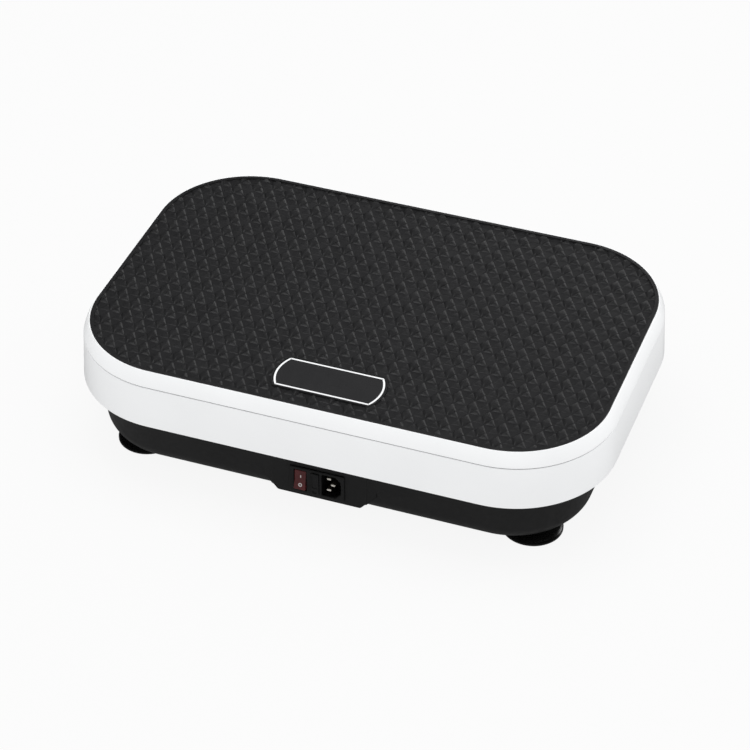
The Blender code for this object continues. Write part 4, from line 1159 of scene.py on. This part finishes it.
@dataclass
class PowerModule:
    """The three-in-one mains module: rocker switch, fuse drawer and three-pin inlet."""

    x: float = 0.0010
    z: float = 0.0375
    face_y: float = -0.1558
    flange: Point3 = (0.0520, 0.0020, 0.0286)
    flange_edge: float = 0.0009
    gap: float = 0.0006
    edge: float = 0.0005
    body: Point3 = (0.0476, 0.0255, 0.0260)
    rocker_x: float = -0.0145
    rocker: Point2 = (0.0110, 0.0204)
    rocker_well: Point2 = (0.0122, 0.0228)
    rocker_tilt: float = radians(10)
    rocker_pivot: float = 0.0032
    rocker_lean: float = 0.115
    rocker_rise: float = 0.0032
    mark_shift: float = 0.0005
    mark_thickness: float = 0.00024
    fuse_x: float = -0.0005
    fuse: Point2 = (0.0074, 0.0226)
    fuse_depth: float = 0.0180
    fuse_proud: float = 0.0010
    socket_x: float = 0.01445
    socket: Point2 = (0.0180, 0.0228)
    socket_depth: float = 0.0155
    socket_chamfer: float = 0.0050
    pin: Point2 = (0.0040, 0.0020)
    pins: dict[str, Point2] = field(default_factory=lambda: {
        "pin_line": (0.01165, 0.0437), "pin_neutral": (0.01165, 0.0313),
        "pin_earth": (0.01565, 0.0375)})

    def socket_outline(self, grow: float = 0.0) -> list[Point2]:
        """The inlet's mouth: two square corners on the left, two cut corners on the right."""
        x, z, cut = self.socket[0] / 2, self.socket[1] / 2, self.socket_chamfer
        corners = [(-x, -z), (x - cut, -z), (x, -z + cut), (x, z - cut), (x - cut, z), (-x, z)]
        return grown(filleted(corners, 0.0008, 3), grow)

    def housing(self) -> Piece:
        """The flange and body, with a small funnel round the socket and all the wells."""
        flange = slab("inlet_housing_moulding",
                      rectangle(self.flange[0] / 2, self.flange[2] / 2, 0.002, 5),
                      Axis.Y, self.face_y, self.face_y + self.flange[1], self.flange_edge, 4,
                      (self.x, 0, self.z))
        back_y = self.face_y + self.flange[1] + self.body[1]
        start_y = self.face_y + self.flange[1] / 2
        body = box("body", (self.body[0], back_y - start_y, self.body[2]),
                   (self.x, (start_y + back_y) / 2, self.z))
        housing = combine(flange, [body], Cut.ADD)
        cutters = [self.well("rocker_well", self.rocker_x, self.rocker_well, 0.0125),
                   self.well("fuse_well", self.fuse_x,
                             (self.fuse[0] + self.gap, self.fuse[1] + self.gap),
                             self.fuse_depth + 0.001),
                   slab("socket", self.socket_outline(), Axis.Y, self.face_y - 0.004,
                        self.face_y + self.socket_depth, at=(self.socket_x, 0, self.z)),
                   self.socket_chamfer_cut()]
        for name, (x, z) in self.pins.items():
            cutters.append(box(name + "_slot",
                               (self.pin[0] + self.gap, 0.02, self.pin[1] + self.gap),
                               (x, self.face_y + self.socket_depth + 0.0085, z)))
        return combine(housing, cutters)

    def socket_chamfer_cut(self) -> Piece:
        """A small funnel round the socket's mouth."""
        rings = []
        for grow, y in ((0.0011, -0.0004), (0.0007, 0.0), (0.0, 0.0007), (0.0, 0.002)):
            rings.append([(x + self.socket_x, self.face_y + y, z + self.z)
                          for x, z in self.socket_outline(grow)])
        return loft("funnel", rings)

    def well(self, name: str, x: float, size: Point2, depth: float) -> Piece:
        """A rectangular well from the module's face."""
        mouth = 0.004
        return box(name, (size[0], depth + mouth, size[1]),
                   (x, self.face_y + (depth - mouth) / 2, self.z))

    def make_pins(self) -> None:
        """Three flat pins with rounded tips."""
        start, end = self.face_y + 0.0025, self.face_y + self.flange[1] + self.body[1] + 0.007
        for name, (x, z) in self.pins.items():
            blade = box(name + "_blade", (self.pin[0], end - start, self.pin[1]),
                        (x, (start + end) / 2, z), self.edge)
            dress(blade, PIN_NICKEL, Body.BASE, [name])

    def rocker_points(self, points: Iterable[Point2]) -> list[Point2]:
        """Tilt (y, z) points about the rocker's pivot and put them in the row frame."""
        pivot = Vector((self.face_y + self.rocker_pivot, self.z))
        turn = Matrix.Rotation(-self.rocker_tilt, 2)
        return [tuple(turn @ Vector(point) + pivot) for point in points]

    def rocker_cap(self) -> Piece:
        """The rocker: two shallow faces in a V with rounded ends, pressed in at the top."""
        half = self.rocker[1] / 2
        front = [(-0.0044, -half + 0.0006), (-0.0036, -0.0040), (-0.0032, 0.0), (-0.0036, 0.0040),
                 (-0.0044, half - 0.0006)]
        back = [(-0.0026, half), (0.0028, 0.0066), (0.0040, 0.0030), (0.0040, -0.0030),
                (0.0028, -0.0066), (-0.0026, -half)]
        outline = filleted(self.rocker_points(front + back), 0.0006, 3)[::-1]
        return slab("rocker_cap", outline, Axis.X, self.rocker_x - self.rocker[0] / 2,
                    self.rocker_x + self.rocker[0] / 2, self.edge, 3)

    def mark(self, name: str, outline: Sequence[Point2], hole: Sequence[Point2],
             middle: float) -> Piece:
        """A printed switch mark, as a thin solid on a face of the rocker.

        Args:
            name: The object's name.
            outline: The mark's outline in X and along the face.
            hole: Its inner outline, with as many points, or none.
            middle: Where the mark sits along the rocker.

        Returns:
            The mark.
        """
        half = self.mark_thickness / 2

        def on_face(x: float, along: float, lift: float) -> Point3:
            depth = -self.rocker_rise - abs(middle + along) * self.rocker_lean - lift
            y, z = self.rocker_points([(depth, middle + along)])[0]
            return (x + self.rocker_x + self.mark_shift, y, z)
        rings = [[on_face(x, v, lift) for x, v in outline] for lift in (-half, half)]
        if hole:
            rings += [[on_face(x, v, lift) for x, v in hole] for lift in (half, -half)]
        return loft(name, rings, capped=not hole)

    def make_rocker(self) -> None:
        """Build and dress the rocker and its on and off marks."""
        dress(self.rocker_cap(), SWITCH_RED, Body.SWITCH, ["rocker_button"])
        outer, inner = (arc((0, 0), radius, 0, 2 * pi * 31 / 32, 31) for radius in (0.0018, 0.0009))
        ring = self.mark("mark_off", outer, inner, -0.0050)
        bar = self.mark("mark_on", rectangle(0.00045, 0.0014, 0.0003, 3), [], 0.0036)
        for piece in (ring, bar):
            dress(piece, SWITCH_INK, Body.SWITCH)

    def fuse_drawer(self) -> Piece:
        """The fuse drawer, with its tray, a finger notch and a sunk field in its front."""
        start = self.face_y - self.fuse_proud
        end = start + self.fuse_depth
        drawer = box("fuse_drawer_moulding", (self.fuse[0], end - start, self.fuse[1]),
                     (self.fuse_x, (start + end) / 2, self.z), self.edge)
        tray = box("tray", (self.fuse[0], 0.0076, self.fuse[1] - 0.0016),
                   (self.fuse_x + 0.0014, end - 0.0060, self.z))
        notch = box("notch", (0.0040, 0.0024, 0.0040),
                    (self.fuse_x, start, self.z - self.fuse[1] / 2 + 0.0010))
        panel = box("panel", (self.fuse[0] - 0.0022, 0.0006, self.fuse[1] - 0.0084),
                    (self.fuse_x, start, self.z + 0.0020))
        return combine(drawer, [tray, notch, panel])

    def make(self) -> None:
        """Build and dress every piece of the module."""
        dress(self.housing(), MODULE_NYLON, Body.BASE, ["inlet_housing"])
        self.make_pins()
        self.make_rocker()
        dress(self.fuse_drawer(), MODULE_NYLON, Body.FUSE_HOLDER, ["fuse_drawer"])


@dataclass
class HiddenWorks:
    """The steelwork, drive and electrics, which keep their CAD shapes and get their finishes."""

    finishes: dict[str, Finish] = field(default_factory=lambda: {
        finish.slot: finish for finish in (
            WHITE_ABS, BLACK_ABS, MODULE_NYLON, MAT_RUBBER, FOOT_RUBBER, BUFFER_RUBBER,
            BELT_RUBBER, LEAD_PVC, SMOKED_ACRYLIC, SWITCH_RED, FUSE_GLASS, CAPACITOR_SLEEVE,
            PIN_NICKEL, ZINC_STEEL, PAINTED_STEEL, CAST_ALUMINIUM, CIRCUIT_GREEN)})

    def make(self) -> None:
        """Give every CAD node that still shows the finish of its material slot."""
        for part in frame["record"]["subparts"]:
            node, finish = frame["nodes"][part["node"]], self.finishes[part["material_slot"]]
            if not node.hide_render:
                node.data.materials.clear()
                node.data.materials.append(finish.material())
                LOG.info("%s: CAD shape in %s", node.name, finish.slot)


# ----------------------------------------------------------------------------------------- studio
@dataclass
class Studio:
    """A plain pale floor, a white surround, soft lights and the camera."""

    floor_half: float = 4.0
    floor_colour: str = "#f8f8f8"
    surround: float = 0.91
    target: Point3 = (0.0, 0.0, 0.1257)
    view_azimuth: float = radians(19.84993)
    view_elevation: float = radians(37.88698)
    view_roll: float = radians(0.13064)
    view_distance: float = 2.547048
    view_shift: Point2 = (0.000733, 0.063566)
    lens: float = 135.22
    light_aim: Point3 = (0.0, 0.0, 0.08)
    floor_glow: float = 0.957
    mirrored_glow: float = 0.14
    shadow_share: float = 0.06

    def floor(self) -> None:
        """A floor that stays nearly white, with a faint contact shadow."""
        half = self.floor_half
        mesh = bpy.data.meshes.new("studio_floor")
        mesh.from_pydata([(-half, -half, 0), (half, -half, 0), (half, half, 0), (-half, half, 0)],
                         [], [(0, 1, 2, 3)])
        plane = new_object("studio_floor", mesh)
        made = bpy.data.materials.new("studio_paper")
        made.use_nodes = True
        tree = made.node_tree
        tree.nodes.clear()
        paper = add_node(tree, "ShaderNodeBsdfDiffuse", links={"Color": linear(self.floor_colour)})
        seen = add_node(tree, "ShaderNodeLightPath").outputs["Is Glossy Ray"]
        strength = add_node(tree, "ShaderNodeMapRange",
                            links={"Value": seen, "To Min": self.floor_glow,
                                   "To Max": self.mirrored_glow})
        glow = add_node(tree, "ShaderNodeEmission",
                        links={"Color": linear("#ffffff"), "Strength": strength.outputs[0]})
        mix = add_node(tree, "ShaderNodeMixShader", links={
            0: self.shadow_share, 1: glow.outputs[0], 2: paper.outputs[0]})
        add_node(tree, "ShaderNodeOutputMaterial", links={"Surface": mix.outputs[0]})
        mesh.materials.append(made)

    def surround_light(self) -> None:
        """An even white surround."""
        world = bpy.data.worlds.new("studio_surround")
        world.use_nodes = True
        background = world.node_tree.nodes["Background"]
        background.inputs["Color"].default_value = (1, 1, 1, 1)
        background.inputs["Strength"].default_value = self.surround
        world.cycles_visibility.glossy = False
        bpy.context.scene.world = world
        bpy.context.scene.view_settings.view_transform = "Standard"

    def panel_light(self, name: str, at: Point3, size: Point2, watts: float,
                    mirrored: bool = True, diffuse: bool = True) -> None:
        """A rectangular soft light on the plate, which may leave its gloss or body tone alone."""
        lamp = bpy.data.lights.new(name, "AREA")
        lamp.shape = "RECTANGLE"
        lamp.size, lamp.size_y = size
        lamp.energy = watts
        obj = bpy.data.objects.new(name, lamp)
        bpy.context.scene.collection.objects.link(obj)
        obj.location = at
        obj.visible_glossy = mirrored
        obj.visible_diffuse = diffuse
        facing = Vector(self.light_aim) - Vector(at)
        obj.rotation_euler = facing.to_track_quat("-Z", "Y").to_euler()

    def camera(self) -> None:
        """The camera, which looks from the front right and above."""
        azimuth, elevation = self.view_azimuth, self.view_elevation
        back = Vector((sin(azimuth) * cos(elevation), -cos(azimuth) * cos(elevation),
                       sin(elevation)))
        right = Vector((cos(azimuth), sin(azimuth), 0))
        up = back.cross(right)
        turn = Matrix.Rotation(self.view_roll, 3, back)
        right, up = turn @ right, turn @ up
        data = bpy.data.cameras.new("studio_camera")
        data.lens = self.lens
        data.sensor_width = 36
        data.clip_start, data.clip_end = 0.05, 50
        camera = bpy.data.objects.new("studio_camera", data)
        bpy.context.scene.collection.objects.link(camera)
        place = Matrix((right, up, back)).transposed().to_4x4()
        place.translation = (Vector(self.target) + back * self.view_distance
                             - right * self.view_shift[0] - up * self.view_shift[1])
        camera.matrix_world = place
        bpy.context.scene.camera = camera

    def make(self) -> None:
        """Set up floor, surround, lights and camera."""
        self.floor()
        self.surround_light()
        self.panel_light("top_light", (0.0, 0.1, 1.9), (1.4, 1.2), 12.5, mirrored=False)
        self.panel_light("back_light", (0.5, 2.6, 0.75), (3.2, 0.9), 9.0, diffuse=False)
        self.panel_light("right_light", (1.8, 1.6, 0.8), (0.9, 0.9), 10.0)
        self.panel_light("crown_light", (-0.55, 0.0, 1.9), (0.9, 0.7), 3.0)
        self.panel_light("foot_light", (0.9, -2.2, 0.5), (1.2, 0.5), 2.0)
        self.camera()


def main() -> None:
    """Build every sub-assembly, then the studio, and log each one as it is done."""
    logging.basicConfig(level=logging.INFO, format="%(name)s %(message)s")
    outline, scatter, display = PlateOutline(), Scatter(), DisplayWindow()
    tub_outline = PlateOutline(length=0.4984, corner_radius=0.0929)
    for part in (Cover(outline), display, StandingMat(outline, display, scatter),
                 BaseTub(tub_outline, scatter), SuctionFeet(scatter), BaseScrews(scatter),
                 PowerModule(), HiddenWorks(), Studio()):
        part.make()
        LOG.info("%s done", type(part).__name__)


if __name__ == "__main__":
    main()
